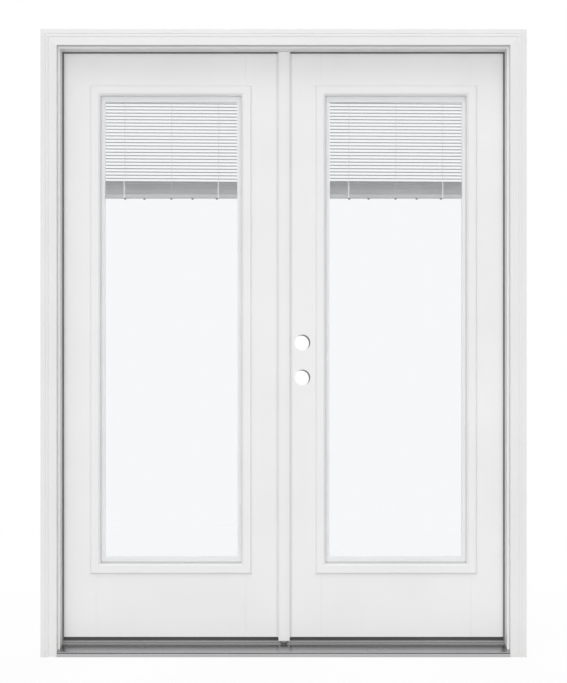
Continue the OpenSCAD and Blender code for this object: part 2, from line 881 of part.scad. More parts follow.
// Raised slats lie on each other, so the bunch has a ridge for each few of them.
// The gathered cords hang in loops in front of it and behind it. Its top falls with the slats.
module blind_bunch(side) {
    tall = bunch_h + blind_half * sin(blind_lean) + past;
    step = tall / bunch_ridges;
    half = bunch_d / 2;
    loop_w = 5;
    loop_y = ladder_y + ladder_cord / 2;
    color("lightgray") at_blind(side) difference() {
        translate([0, 0, bunch_z0]) {
            run_x(-blind_half, blind_half) polygon(concat(
                [for (i = [0:bunch_ridges]) [(i % 2) * ridge_d - half, i * step]],
                [for (i = [bunch_ridges:-1:0]) [half - (i % 2) * ridge_d, i * step]]));
            for (x = [-ladder_x, 0, ladder_x]) translate([x - loop_w / 2, -loop_y, 0])
                cube([loop_w, 2 * loop_y, tall]);
        }
        leaning(bunch_z1) translate([-slab_w / 2, -igu_t, 0]) cube([slab_w, 2 * igu_t, bunch_h]);
    }
}

module blind_bottom_rail(side) {
    color("white") at_blind(side) translate([0, 0, rail_z0]) {
        run_x(-blind_half, blind_half) translate([-rail_d / 2, 0]) round_rect(rail_d, rail_h, rail_r);
        for (x = plug_xs) translate([x, 0, -plug_h]) cylinder(r = plug_r, h = plug_h + past);
    }
}

// Astragal on the passive slab: a half-round cap over the gap and a stem on the slab's edge

module astragal_section() {
    rise = astragal_proud - astragal_edge;
    half = astragal_w / 2;
    cap_r = (half * half + rise * rise) / (2 * rise);
    stem_x0 = -slab_in_x;
    difference() {
        union() {
            translate([astragal_mid_x - half, slab_y0 - astragal_edge]) square([astragal_w, astragal_edge]);
            intersection() {
                translate([astragal_mid_x, slab_y0 - astragal_proud + cap_r]) circle(cap_r, $fn = 96);
                translate([astragal_mid_x - half, slab_y0 - astragal_proud])
                    square([astragal_w, astragal_proud - astragal_edge]);
            }
            translate([stem_x0, slab_y0 - past]) square([stem_t, slab_t + past]);
        }
        translate([stem_x0 + stem_t, slab_y0 - astragal_room]) square([astragal_w, past]);
        translate([seal_bead_x, slab_y0 - astragal_room - seal_bead_d])
            square([seal_bead_w, seal_bead_d + past]);
    }
}

module astragal() {
    window_w = tab_w + 12;
    window_h = tab_h + bolt_throw + 24;
    color("white") difference() {
        run_z(sweep_z0, astragal_z1) astragal_section();
        for (z = [slab_z1 - tab_drop - 12, slab_z0 + tab_drop + 12 - window_h])
            translate([-slab_in_x - past, bolt_y - window_w / 2, z])
                cube([stem_t + 2 * past, window_w, window_h]);
    }
}

module astragal_seal() {
    color("dimgray") run_z(sweep_z0, astragal_z1)
        translate([seal_bead_x, slab_y0 - astragal_room - seal_bead_d]) square([seal_bead_w, seal_bead_d]);
}

side_jamb(-1);  // left_jamb
side_jamb(1);  // right_jamb
head_jamb();
side_brickmould(-1);  // left_brickmould
side_brickmould(1);  // right_brickmould
head_brickmould();
sill_base();
sill_deck();
sill_cap();
cap_screws();
side_weatherstrip(-1);  // left_weatherstrip
side_weatherstrip(1);  // right_weatherstrip
head_weatherstrip();
corner_pads();
frame_leaves(-1);  // left_frame_leaves
frame_leaves(1);  // right_frame_leaves
hinge_pins(-1);  // left_hinge_pins
hinge_pins(1);  // right_hinge_pins
head_strike();
hinge_stile(-1);  // passive_hinge_stile
passive_lock_stile();
top_rail(-1);  // passive_top_rail
bottom_rail(-1);  // passive_bottom_rail
outer_lite_frame(-1);  // passive_outer_lite_frame
inner_lite_frame(-1);  // passive_inner_lite_frame
outer_pane(-1);  // passive_outer_pane
inner_pane(-1);  // passive_inner_pane
spacer(-1);  // passive_spacer
blind_head_rail(-1);  // passive_blind_head_rail
blind_slats(-1);  // passive_blind_slats
blind_ladders(-1);  // passive_blind_ladders
blind_bunch(-1);  // passive_blind_bunch
blind_bottom_rail(-1);  // passive_blind_bottom_rail
blind_slider(-1);  // passive_blind_slider
sweep(-1);  // passive_sweep
slab_leaves(-1);  // passive_hinge_leaves
hinge_stile(1);  // active_hinge_stile
active_lock_stile();
top_rail(1);  // active_top_rail
bottom_rail(1);  // active_bottom_rail
outer_lite_frame(1);  // active_outer_lite_frame
inner_lite_frame(1);  // active_inner_lite_frame
outer_pane(1);  // active_outer_pane
inner_pane(1);  // active_inner_pane
spacer(1);  // active_spacer
blind_head_rail(1);  // active_blind_head_rail
blind_slats(1);  // active_blind_slats
blind_ladders(1);  // active_blind_ladders
blind_bunch(1);  // active_blind_bunch
blind_bottom_rail(1);  // active_blind_bottom_rail
blind_slider(1);  // active_blind_slider
sweep(1);  // active_sweep
slab_leaves(1);  // active_hinge_leaves
astragal();
astragal_seal();
top_bolt();
bottom_bolt();
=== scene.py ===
# %% [markdown]
# # A double patio door with blinds between the panes
# The shapes of the door come from a CAD model that is already measured and jointed. This notebook
# dresses it in Blender: a camera, a studio, one finish for each material, and the small pieces that are
# easier to model by hand here, such as the thin slats of the blinds. All lengths are in metres.

# %% Load the CAD model
from math import pi, radians, sin, tan
import random

import bmesh
import bpy
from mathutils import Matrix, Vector


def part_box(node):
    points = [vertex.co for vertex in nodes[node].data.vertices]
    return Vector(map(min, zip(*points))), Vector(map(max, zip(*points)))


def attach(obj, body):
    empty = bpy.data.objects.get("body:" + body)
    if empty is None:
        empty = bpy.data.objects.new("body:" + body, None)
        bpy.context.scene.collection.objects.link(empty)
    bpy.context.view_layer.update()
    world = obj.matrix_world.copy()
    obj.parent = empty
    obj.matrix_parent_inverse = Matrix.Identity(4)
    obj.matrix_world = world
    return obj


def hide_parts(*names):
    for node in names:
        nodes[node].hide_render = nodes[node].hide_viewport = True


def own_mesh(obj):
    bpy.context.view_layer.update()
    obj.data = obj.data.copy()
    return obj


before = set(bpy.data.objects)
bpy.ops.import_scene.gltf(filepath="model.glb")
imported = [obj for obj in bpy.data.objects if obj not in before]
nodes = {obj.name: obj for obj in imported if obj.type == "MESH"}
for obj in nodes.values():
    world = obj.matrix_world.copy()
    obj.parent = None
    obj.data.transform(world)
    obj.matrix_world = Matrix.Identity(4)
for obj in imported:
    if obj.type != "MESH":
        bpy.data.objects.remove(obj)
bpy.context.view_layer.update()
MM = 0.001

# %% [markdown]
# ## Camera
# The door is photographed squarely from the front with a long lens, a little below its middle, so
# upright lines stay upright. Tilting the camera would make the jambs lean, so it stays level, and a small
# vertical shift of the lens puts the door where it stands in the picture.

# %% Place the camera
CAMERA_DISTANCE = 5.83175
EYE_HEIGHT = 1.001
LENS_MM = 91.45
SENSOR_MM = 36
LENS_SHIFT = 0.0242
FAR_CLIP = 200
bpy.ops.object.camera_add(location=(0, -CAMERA_DISTANCE, EYE_HEIGHT), rotation=(pi / 2, 0, 0))
camera = bpy.context.object
camera.data.lens = LENS_MM
camera.data.sensor_width = SENSOR_MM
camera.data.shift_y = LENS_SHIFT
camera.data.clip_end = FAR_CLIP
bpy.context.scene.camera = camera
bpy.context.scene.view_settings.view_transform = "Standard"
print("camera at", tuple(camera.location))

# %% [markdown]
# ## Studio
# The picture has a plain white ground. A white floor under strong lamps would also bleach the door, so
# the white comes from the world and the floor only for rays that the camera, gloss and glass send out,
# while the light that reaches the door is kept at a plain level. The floor still takes a faint shadow.
# The front lamp lights the door but is hidden from gloss and glass, or the panes would mirror it.

# %% White world with its own level of light
WORLD_LIGHT = 0.5
WHITE = (1, 1, 1, 1)
world = bpy.data.worlds.new("studio")
bpy.context.scene.world = world
world.use_nodes = True


def seen_rays(tree):
    """One value that is 1 for camera, glossy and transmission rays."""
    path = tree.nodes.new("ShaderNodeLightPath")
    total = path.outputs["Is Camera Ray"]
    for kind in ("Is Glossy Ray", "Is Transmission Ray"):
        larger = tree.nodes.new("ShaderNodeMath")
        larger.operation = "MAXIMUM"
        tree.links.new(total, larger.inputs[0])
        tree.links.new(path.outputs[kind], larger.inputs[1])
        total = larger.outputs[0]
    return total


tree = world.node_tree
light_level = tree.nodes.new("ShaderNodeMapRange")
light_level.inputs["To Min"].default_value = WORLD_LIGHT
light_level.inputs["To Max"].default_value = 1.0
tree.links.new(seen_rays(tree), light_level.inputs["Value"])
background = tree.nodes["Background"]
background.inputs["Color"].default_value = WHITE
tree.links.new(light_level.outputs[0], background.inputs["Strength"])
print("world light", WORLD_LIGHT)

# %% Floor plane and its three shaders
FLOOR_SIZE = 120
FLOOR_BOUNCE = (0.58, 0.58, 0.58, 1)
bpy.ops.object.select_all(action="DESELECT")
bpy.ops.mesh.primitive_plane_add(size=FLOOR_SIZE, location=(0, 0, 0))
floor = bpy.context.object
floor.name = "floor"
floor_finish = bpy.data.materials.new("floor_white")
floor_finish.use_nodes = True
floor.data.materials.append(floor_finish)
tree = floor_finish.node_tree
tree.nodes.remove(tree.nodes["Principled BSDF"])
matt = tree.nodes.new("ShaderNodeBsdfDiffuse")
matt.inputs["Color"].default_value = FLOOR_BOUNCE
faint = tree.nodes.new("ShaderNodeBsdfDiffuse")
faint.inputs["Color"].default_value = WHITE
glow = tree.nodes.new("ShaderNodeEmission")
print("floor", FLOOR_SIZE, "wide")

# %% The floor is white to the eye, with a faint shadow that fades away from the door
SHADOW_SHARE = 0.1
SHADOW_REACH = (1.2, 4.5)
place = tree.nodes.new("ShaderNodeTexCoord")
away = tree.nodes.new("ShaderNodeVectorMath")
away.operation = "LENGTH"
share = tree.nodes.new("ShaderNodeMapRange")
share.inputs["From Min"].default_value = SHADOW_REACH[0]
share.inputs["From Max"].default_value = SHADOW_REACH[1]
share.inputs["To Min"].default_value = 1 - SHADOW_SHARE
share.inputs["To Max"].default_value = 1.0
both = tree.nodes.new("ShaderNodeMixShader")
choose = tree.nodes.new("ShaderNodeMixShader")
tree.links.new(place.outputs["Object"], away.inputs[0])
tree.links.new(away.outputs["Value"], share.inputs["Value"])
tree.links.new(share.outputs[0], both.inputs[0])
tree.links.new(faint.outputs[0], both.inputs[1])
tree.links.new(glow.outputs[0], both.inputs[2])
tree.links.new(seen_rays(tree), choose.inputs[0])
tree.links.new(matt.outputs[0], choose.inputs[1])
tree.links.new(both.outputs[0], choose.inputs[2])
tree.links.new(choose.outputs[0], tree.nodes["Material Output"].inputs["Surface"])
print("share of shadow on the floor", SHADOW_SHARE)

# %% Soft lamps: a wide one square in front and one in the room behind
# Each has its place, the point it is aimed at, its width and height, and its power in watts.
LAMPS = {
    "front_lamp": ((-0.3, -8.5, 1.05), (0.0, 0.0, 1.05), (5.0, 2.0), 284.0),
    "room_lamp": ((0.6, 3.2, 4.8), (0.0, 0.0, 1.0), (3.0, 3.0), 90.0),
}
for name, (place, aim, size, power) in LAMPS.items():
    bpy.ops.object.light_add(type="AREA", location=place)
    lamp = bpy.context.object
    lamp.name = name
    lamp.data.shape = "RECTANGLE"
    lamp.data.size, lamp.data.size_y = size
    lamp.data.energy = power
    lamp.rotation_euler = (Vector(aim) - Vector(place)).to_track_quat("-Z", "Y").to_euler()
    lamp.visible_glossy = name != "front_lamp"
    lamp.visible_transmission = name != "front_lamp"
    print(name, "power", power)

# %% A broad soft sun from above, which doesn't weaken towards the sill
SKY_FROM = Vector((-0.2, -1.0, 1.1))
SKY_SPREAD = radians(45)
SKY_STRENGTH = 0.7
bpy.ops.object.light_add(type="SUN", location=4 * SKY_FROM)
sky = bpy.context.object
sky.name = "sky_lamp"
sky.data.angle = SKY_SPREAD
sky.data.energy = SKY_STRENGTH
sky.rotation_euler = (-SKY_FROM).to_track_quat("-Z", "Y").to_euler()
print(sky.name, "strength", SKY_STRENGTH)

# %% [markdown]
# ## Shared surface effects
# Paint, vinyl and metal all need small unevenness, or they look like computer plastic. It could be painted
# as an image, but then every piece would need a flat layout. Four node groups make it once instead: a fine
# grain with a slow drift, straight lines along an extrusion, dust that settles low down, and a band of
# painted shade between two heights. They read Object coordinates, so the detail has a real size and stays
# on a moving door.

# %% Helpers that build node groups and place them


def new_group(name, inputs, outputs):
    """A shader node group with float inputs and float outputs."""
    group = bpy.data.node_groups.new(name, "ShaderNodeTree")
    for label, value in inputs.items():
        socket = group.interface.new_socket(label, in_out="INPUT", socket_type="NodeSocketFloat")
        socket.default_value = value
    for label in outputs:
        group.interface.new_socket(label, in_out="OUTPUT", socket_type="NodeSocketFloat")
    return group, group.nodes.new("NodeGroupInput"), group.nodes.new("NodeGroupOutput")


def use_group(tree, group, **values):
    """Places a group in a material and sets its inputs; _ in a name stands for a space."""
    placed = tree.nodes.new("ShaderNodeGroup")
    placed.node_tree = group
    for label, value in values.items():
        placed.inputs[label.replace("_", " ")].default_value = value
    return placed


# %% Fine grain and slow drift
grain_group, ends_in, ends_out = new_group(
    "surface_grain", {"Grain Scale": 900.0, "Drift Scale": 3.0}, ["Grain", "Drift"]
)
place = grain_group.nodes.new("ShaderNodeTexCoord")
for label, scale_name, detail in (("Grain", "Grain Scale", 2.0), ("Drift", "Drift Scale", 3.0)):
    noise = grain_group.nodes.new("ShaderNodeTexNoise")
    noise.inputs["Detail"].default_value = detail
    grain_group.links.new(place.outputs["Object"], noise.inputs["Vector"])
    grain_group.links.new(ends_in.outputs[scale_name], noise.inputs["Scale"])
    grain_group.links.new(noise.outputs["Fac"], ends_out.inputs[label])
print("group", grain_group.name)

# %% Lines along X, as a die leaves them on an extrusion
LINE_STRETCH = (0.004, 1, 1)
lines_group, ends_in, ends_out = new_group("die_lines", {"Line Scale": 700.0}, ["Lines"])
place = lines_group.nodes.new("ShaderNodeTexCoord")
stretch = lines_group.nodes.new("ShaderNodeMapping")
stretch.inputs["Scale"].default_value = LINE_STRETCH
noise = lines_group.nodes.new("ShaderNodeTexNoise")
noise.inputs["Detail"].default_value = 4.0
lines_group.links.new(place.outputs["Object"], stretch.inputs["Vector"])
lines_group.links.new(stretch.outputs[0], noise.inputs["Vector"])
lines_group.links.new(ends_in.outputs["Line Scale"], noise.inputs["Scale"])
lines_group.links.new(noise.outputs["Fac"], ends_out.inputs["Lines"])
print("group", lines_group.name)

# %% Dust that thins out with height
dust_group, ends_in, ends_out = new_group("low_dust", {"Reach": 0.25, "Patch Scale": 14.0}, ["Dust"])
place = dust_group.nodes.new("ShaderNodeTexCoord")
parts = dust_group.nodes.new("ShaderNodeSeparateXYZ")
fade = dust_group.nodes.new("ShaderNodeMapRange")
fade.inputs["To Min"].default_value = 1.0
fade.inputs["To Max"].default_value = 0.0
patches = dust_group.nodes.new("ShaderNodeTexNoise")
patches.inputs["Detail"].default_value = 5.0
product = dust_group.nodes.new("ShaderNodeMath")
product.operation = "MULTIPLY"
dust_group.links.new(place.outputs["Object"], parts.inputs[0])
dust_group.links.new(parts.outputs["Z"], fade.inputs["Value"])
dust_group.links.new(ends_in.outputs["Reach"], fade.inputs["From Max"])
dust_group.links.new(place.outputs["Object"], patches.inputs["Vector"])
dust_group.links.new(ends_in.outputs["Patch Scale"], patches.inputs["Scale"])
dust_group.links.new(fade.outputs[0], product.inputs[0])
dust_group.links.new(patches.outputs["Fac"], product.inputs[1])
dust_group.links.new(product.outputs[0], ends_out.inputs["Dust"])
print("group", dust_group.name)

# %% Painted shade that grows from one height to a second, fades towards a third and stops at a fourth
shade_band_group, ends_in, ends_out = new_group(
    "painted_shade_band", {"Clean At": 0.01, "Full At": 0.02, "Gone At": 0.03, "Stop At": 0.03}, ["Grime"]
)
place = shade_band_group.nodes.new("ShaderNodeTexCoord")
parts = shade_band_group.nodes.new("ShaderNodeSeparateXYZ")
under = shade_band_group.nodes.new("ShaderNodeMath")
under.operation = "LESS_THAN"
shade_band_group.links.new(place.outputs["Object"], parts.inputs[0])
shade_band_group.links.new(parts.outputs["Z"], under.inputs[0])
shade_band_group.links.new(ends_in.outputs["Stop At"], under.inputs[1])
mask = under.outputs[0]
for near, far in (("Clean At", "Full At"), ("Gone At", "Full At")):
    growth = shade_band_group.nodes.new("ShaderNodeMapRange")
    product = shade_band_group.nodes.new("ShaderNodeMath")
    product.operation = "MULTIPLY"
    shade_band_group.links.new(parts.outputs["Z"], growth.inputs["Value"])
    shade_band_group.links.new(ends_in.outputs[near], growth.inputs["From Min"])
    shade_band_group.links.new(ends_in.outputs[far], growth.inputs["From Max"])
    shade_band_group.links.new(mask, product.inputs[0])
    shade_band_group.links.new(growth.outputs[0], product.inputs[1])
    mask = product.outputs[0]
shade_band_group.links.new(mask, ends_out.inputs["Grime"])
print("group", shade_band_group.name)

# %% [markdown]
# ## Finishes
# Most of the door is white: factory paint on the slabs, jambs and casing, moulded vinyl on the lite
# frames, baked enamel on the slats. One flat colour would do from afar, but close up it looks like card.
# So each is a Principled shader whose colour drifts by a few percent, whose roughness follows the grain,
# and which has a shallow bump. One helper builds them all, and a second one builds the metals.

# %% Helpers for colour, roughness and bump
MIX_LOW = 6
MIX_HIGH = 7
MIX_RESULT = 2
NOISE_LOW = 0.3
NOISE_HIGH = 0.7


def mix_colours(tree, mask, low, high):
    """A colour that runs from low to high with the mask; low may be a socket."""
    blend = tree.nodes.new("ShaderNodeMix")
    blend.data_type = "RGBA"
    tree.links.new(mask, blend.inputs["Factor"])
    if isinstance(low, tuple):
        blend.inputs[MIX_LOW].default_value = (*low, 1)
    else:
        tree.links.new(low, blend.inputs[MIX_LOW])
    blend.inputs[MIX_HIGH].default_value = (*high, 1)
    return blend.outputs[MIX_RESULT]


def spread(tree, value, low, high):
    """Maps a noise value, which stays near its middle, onto low to high."""
    span = tree.nodes.new("ShaderNodeMapRange")
    span.inputs["From Min"].default_value = NOISE_LOW
    span.inputs["From Max"].default_value = NOISE_HIGH
    span.inputs["To Min"].default_value = low
    span.inputs["To Max"].default_value = high
    tree.links.new(value, span.inputs["Value"])
    return span.outputs[0]


def bump(tree, height, depth, shader):
    """Gives the shader a bump of the given depth in metres."""
    relief = tree.nodes.new("ShaderNodeBump")
    relief.inputs["Distance"].default_value = depth
    tree.links.new(height, relief.inputs["Height"])
    tree.links.new(relief.outputs[0], shader.inputs["Normal"])


def add_painted_shade(tree, colour, painted_shade, heights):
    """Lays painted shade over a colour; the heights are where it is unshaded, full, gone again and cut off.
    """
    unshaded, full, gone, stop = heights
    shade_band = use_group(tree, shade_band_group, Clean_At=unshaded, Full_At=full, Gone_At=gone, Stop_At=stop)
    return mix_colours(tree, shade_band.outputs["Grime"], colour, painted_shade)


# %% Helpers for a coated or moulded finish and for a metal
METAL_GRAIN = 600
METAL_DRIFT = 5
finishes = {}


def new_finish(name):
    """An empty finish under its name, with its node tree and its shader."""
    finish = bpy.data.materials.new(name)
    finish.use_nodes = True
    finishes[name] = finish
    return finish.node_tree, finish.node_tree.nodes["Principled BSDF"]


def coated(name, low, high, rough, grain_scale, depth, drift_scale=3.0, dust=None, dust_reach=0.25,
           painted_shade=None, painted_shade_heights=None):
    """A painted or moulded finish: colours low and high, roughness range, grain and bump depth."""
    tree, shader = new_finish(name)
    grain = use_group(tree, grain_group, Grain_Scale=grain_scale, Drift_Scale=drift_scale)
    colour = mix_colours(tree, spread(tree, grain.outputs["Drift"], 0, 1), low, high)
    if dust:
        low_down = use_group(tree, dust_group, Reach=dust_reach)
        colour = mix_colours(tree, low_down.outputs["Dust"], colour, dust)
    if painted_shade:
        colour = add_painted_shade(tree, colour, painted_shade, painted_shade_heights)
    tree.links.new(colour, shader.inputs["Base Color"])
    tree.links.new(spread(tree, grain.outputs["Grain"], *rough), shader.inputs["Roughness"])
    bump(tree, grain.outputs["Grain"], depth, shader)


def metal(name, low, high, rough, line_scale, depth, painted_shade=None, painted_shade_heights=None):
    """Extruded metal: die lines drive its colour and bump, and a band of painted shade may darken it."""
    tree, shader = new_finish(name)
    shader.inputs["Metallic"].default_value = 1.0
    lines = use_group(tree, lines_group, Line_Scale=line_scale)
    grain = use_group(tree, grain_group, Grain_Scale=METAL_GRAIN, Drift_Scale=METAL_DRIFT)
    colour = mix_colours(tree, spread(tree, lines.outputs["Lines"], 0, 1), low, high)
    if painted_shade:
        colour = add_painted_shade(tree, colour, painted_shade, painted_shade_heights)
    tree.links.new(colour, shader.inputs["Base Color"])
    tree.links.new(spread(tree, grain.outputs["Drift"], *rough), shader.inputs["Roughness"])
    bump(tree, lines.outputs["Lines"], depth, shader)


# %% [markdown]
# The legs of the casing are painted a shade greyer than its head and the slabs, as painted shade, and the
# underside of its head is painted darker, as painted shade. The hanging slats are painted darker than the
# slats of the pile, as painted shade, and darker still lower down. Lamps could give such differences too,
# but only from one side, and a finish keeps them in every view.

# %% White finishes
AT_FLOOR = 0.0
NO_STOP = 3.0
SATIN = (0.34, 0.46)
coated("white_paint", (0.81, 0.81, 0.81), (0.84, 0.84, 0.838), SATIN, 1100, 0.00006,
       dust=(0.78, 0.775, 0.765), dust_reach=0.12)
# The casing legs: a greyer copy of the white paint, as painted shade.
coated("side_casing_painted_shade", (0.77, 0.77, 0.77), (0.80, 0.80, 0.798), SATIN, 1100, 0.00006,
       dust=(0.745, 0.74, 0.73), dust_reach=0.12)
# The head casing: the white paint, with painted shade on its underside.
CASING_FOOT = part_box("head_brickmould")[0][2]
coated("head_casing_painted_shade", (0.81, 0.81, 0.81), (0.84, 0.84, 0.838), SATIN, 1100, 0.00006,
       painted_shade=(0.50, 0.50, 0.498),
       painted_shade_heights=(CASING_FOOT + 0.8 * MM, CASING_FOOT + 0.2 * MM, AT_FLOOR, NO_STOP))
# The coves: a greyer copy of the white paint, as painted shade beside the astragal.
coated("cove_painted_shade", (0.75, 0.75, 0.75), (0.78, 0.78, 0.778), SATIN, 1100, 0.00006)
coated("lite_vinyl", (0.81, 0.81, 0.81), (0.84, 0.84, 0.835), (0.3, 0.38), 1600, 0.00003)
# The hanging slats: darker than the pile's paint, and darker still lower down; all of it is painted shade.
coated("slat_paint", (0.57, 0.57, 0.57), (0.63, 0.63, 0.63), (0.3, 0.4), 2500, 0.00002, drift_scale=9,
       painted_shade=(0.47, 0.47, 0.468), painted_shade_heights=(1.76, 1.61, AT_FLOOR, NO_STOP))
coated("pile_paint", (0.70, 0.70, 0.70), (0.76, 0.76, 0.76), (0.3, 0.4), 2500, 0.00002, drift_scale=9)
coated("rail_paint", (0.50, 0.50, 0.505), (0.55, 0.55, 0.555), (0.32, 0.42), 2200, 0.00002, drift_scale=6)
coated("rail_white", (0.90, 0.90, 0.90), (0.93, 0.93, 0.927), (0.28, 0.36), 2200, 0.00002, drift_scale=6)
print("white finishes:", sorted(finishes), "head casing foot", round(CASING_FOOT, 4))

# %% [markdown]
# The threshold is bare aluminium from a die, with fine straight lines along its length, over a pale
# composite core. Its cap is grey composite, and the seals are soft black foam and rubber. The lines could
# be waves, but waves repeat too evenly, so they are noise that is stretched along X. A band of painted
# shade lies on the slope below the cap, painted shade darkens the front face of the cap below its top edge,
# and the hinges, screws and bolts share one steel.

# %% Metals, composite, core and seals
# The deck: a band of painted shade on its slope below the cap.
metal("sill_metal", (0.44, 0.44, 0.45), (0.52, 0.52, 0.53), (0.2, 0.28), 900, 0.00002,
      painted_shade=(0.19, 0.19, 0.19), painted_shade_heights=(16 * MM, 25.4 * MM, 34 * MM, 29.6 * MM))
metal("hinge_steel", (0.56, 0.54, 0.51), (0.62, 0.60, 0.57), (0.24, 0.34), 1500, 0.00001)
# The cap: painted shade on its front face below its top edge.
coated("sill_cap", (0.30, 0.30, 0.30), (0.35, 0.35, 0.35), (0.42, 0.55), 1400, 0.00008,
       painted_shade=(0.17, 0.17, 0.17), painted_shade_heights=(38.5 * MM, 36.5 * MM, 28 * MM, NO_STOP))
coated("sill_core", (0.50, 0.42, 0.32), (0.58, 0.50, 0.39), (0.6, 0.75), 500, 0.0002)
coated("seal", (0.055, 0.055, 0.057), (0.08, 0.08, 0.081), (0.5, 0.65), 1800, 0.0001)
coated("foam", (0.13, 0.13, 0.13), (0.17, 0.17, 0.168), (0.6, 0.75), 1400, 0.0002)
# The pad: a dark finish that is painted shadow, darker still towards its foot.
coated("pad_painted_shadow", (0.19, 0.19, 0.19), (0.22, 0.22, 0.218), (0.6, 0.75), 1400, 0.0002,
       painted_shade=(0.045, 0.045, 0.045), painted_shade_heights=(39 * MM, 33 * MM, AT_FLOOR, NO_STOP))
# The strip at the foot of the lites: a grey that is painted shade.
coated("painted_shade_strip", (0.60, 0.60, 0.60), (0.66, 0.66, 0.656), (0.6, 0.75), 1400, 0.0001)
# The crescents in the bores: a dark grey that is painted shade.
coated("bore_painted_shade", (0.21, 0.21, 0.205), (0.27, 0.27, 0.262), (0.7, 0.85), 700, 0.0003)
coated("ladder_cord", (0.83, 0.83, 0.82), (0.88, 0.88, 0.87), (0.6, 0.75), 3200, 0.00008)
print("finishes:", sorted(finishes))

# %% [markdown]
# Glass is clear with a very slight cool tint, and it must let light through to the blinds. Cycles treats
# glass as solid to shadow rays, so for those and for diffuse rays a transparent shader takes its place.

# %% Glass of the panes
GLASS_TINT = (0.958, 0.965, 0.97, 1)
GLASS_IOR = 1.45
tree, shader = new_finish("glass")
shader.inputs["Base Color"].default_value = GLASS_TINT
shader.inputs["Roughness"].default_value = 0.0
shader.inputs["IOR"].default_value = GLASS_IOR
shader.inputs["Transmission Weight"].default_value = 1.0
clear = tree.nodes.new("ShaderNodeBsdfTransparent")
clear.inputs["Color"].default_value = GLASS_TINT
path = tree.nodes.new("ShaderNodeLightPath")
passing = tree.nodes.new("ShaderNodeMath")
passing.operation = "MAXIMUM"
choose = tree.nodes.new("ShaderNodeMixShader")
tree.links.new(path.outputs["Is Shadow Ray"], passing.inputs[0])
tree.links.new(path.outputs["Is Diffuse Ray"], passing.inputs[1])
tree.links.new(passing.outputs[0], choose.inputs[0])
tree.links.new(shader.outputs[0], choose.inputs[1])
tree.links.new(clear.outputs[0], choose.inputs[2])
tree.links.new(choose.outputs[0], tree.nodes["Material Output"].inputs["Surface"])
print("glass tint", GLASS_TINT[:3])

# %% [markdown]
# ## Finishes on the CAD pieces
# Each CAD piece takes one finish. The lists follow how the door is made: what is painted, moulded,
# extruded or stamped. Dressing the pieces one by one would work too, but lists show at a glance what has
# been forgotten.

# %% Assign a finish to every CAD piece
DOORS = ("passive", "active")
FRAME_FINISH = {
    "white_paint": ["left_jamb", "right_jamb", "head_jamb", "astragal"],
    "side_casing_painted_shade": ["left_brickmould", "right_brickmould"],
    "head_casing_painted_shade": ["head_brickmould"],
    "sill_metal": ["sill_deck"],
    "sill_cap": ["sill_cap"],
    "sill_core": ["sill_base"],
    "foam": ["left_weatherstrip", "right_weatherstrip", "head_weatherstrip", "corner_pads"],
    "seal": ["astragal_seal"],
    "hinge_steel": ["left_frame_leaves", "right_frame_leaves", "left_hinge_pins", "right_hinge_pins",
                    "head_strike", "cap_screws", "top_bolt", "bottom_bolt"],
}
DOOR_FINISH = {
    "white_paint": ["hinge_stile", "lock_stile", "top_rail", "bottom_rail"],
    "lite_vinyl": ["outer_lite_frame", "inner_lite_frame", "blind_slider"],
    "rail_white": ["blind_head_rail", "spacer"],
    "glass": ["outer_pane", "inner_pane"],
    "slat_paint": ["blind_slats", "blind_bunch"],
    "rail_paint": ["blind_bottom_rail"],
    "ladder_cord": ["blind_ladders"],
    "seal": ["sweep"],
    "hinge_steel": ["hinge_leaves"],
}


def dress(piece, finish):
    """Gives a piece one finish on all its faces."""
    piece.data.materials.clear()
    piece.data.materials.append(finishes[finish])


for finish, names in FRAME_FINISH.items():
    for name in names:
        dress(nodes[name], finish)
for door in DOORS:
    for finish, names in DOOR_FINISH.items():
        for name in names:
            dress(nodes[door + "_" + name], finish)
print("undressed:", [name for name, node in nodes.items() if not node.data.materials])

# %% [markdown]
# ## Soft edges
# No real edge is perfectly sharp: sawn, extruded and moulded edges all catch a thread of light. A Weld
# modifier joins the triangles that the CAD model brings, a narrow Bevel rounds the edges, and a small
# geometry-node modifier smooths what is nearly flat, so round surfaces don't show facets. They are left
# as live modifiers, because the CAD meshes themselves don't change.

# %% A modifier that smooths every edge flatter than 35 degrees
SMOOTH_BELOW = radians(35)
smooth_tree = bpy.data.node_groups.new("smooth_flat_edges", "GeometryNodeTree")
smooth_tree.interface.new_socket("Geometry", in_out="INPUT", socket_type="NodeSocketGeometry")
smooth_tree.interface.new_socket("Geometry", in_out="OUTPUT", socket_type="NodeSocketGeometry")
ends_in = smooth_tree.nodes.new("NodeGroupInput")
ends_out = smooth_tree.nodes.new("NodeGroupOutput")
angle = smooth_tree.nodes.new("GeometryNodeInputMeshEdgeAngle")
flat = smooth_tree.nodes.new("FunctionNodeCompare")
flat.operation = "LESS_THAN"
flat.inputs["B"].default_value = SMOOTH_BELOW
faces_smooth = smooth_tree.nodes.new("GeometryNodeSetShadeSmooth")
edges_smooth = smooth_tree.nodes.new("GeometryNodeSetShadeSmooth")
edges_smooth.domain = "EDGE"
smooth_tree.links.new(angle.outputs["Unsigned Angle"], flat.inputs["A"])
smooth_tree.links.new(ends_in.outputs[0], faces_smooth.inputs["Geometry"])
smooth_tree.links.new(faces_smooth.outputs[0], edges_smooth.inputs["Geometry"])
smooth_tree.links.new(flat.outputs[0], edges_smooth.inputs["Shade Smooth"])
smooth_tree.links.new(edges_smooth.outputs[0], ends_out.inputs[0])
print("modifier tree", smooth_tree.name)

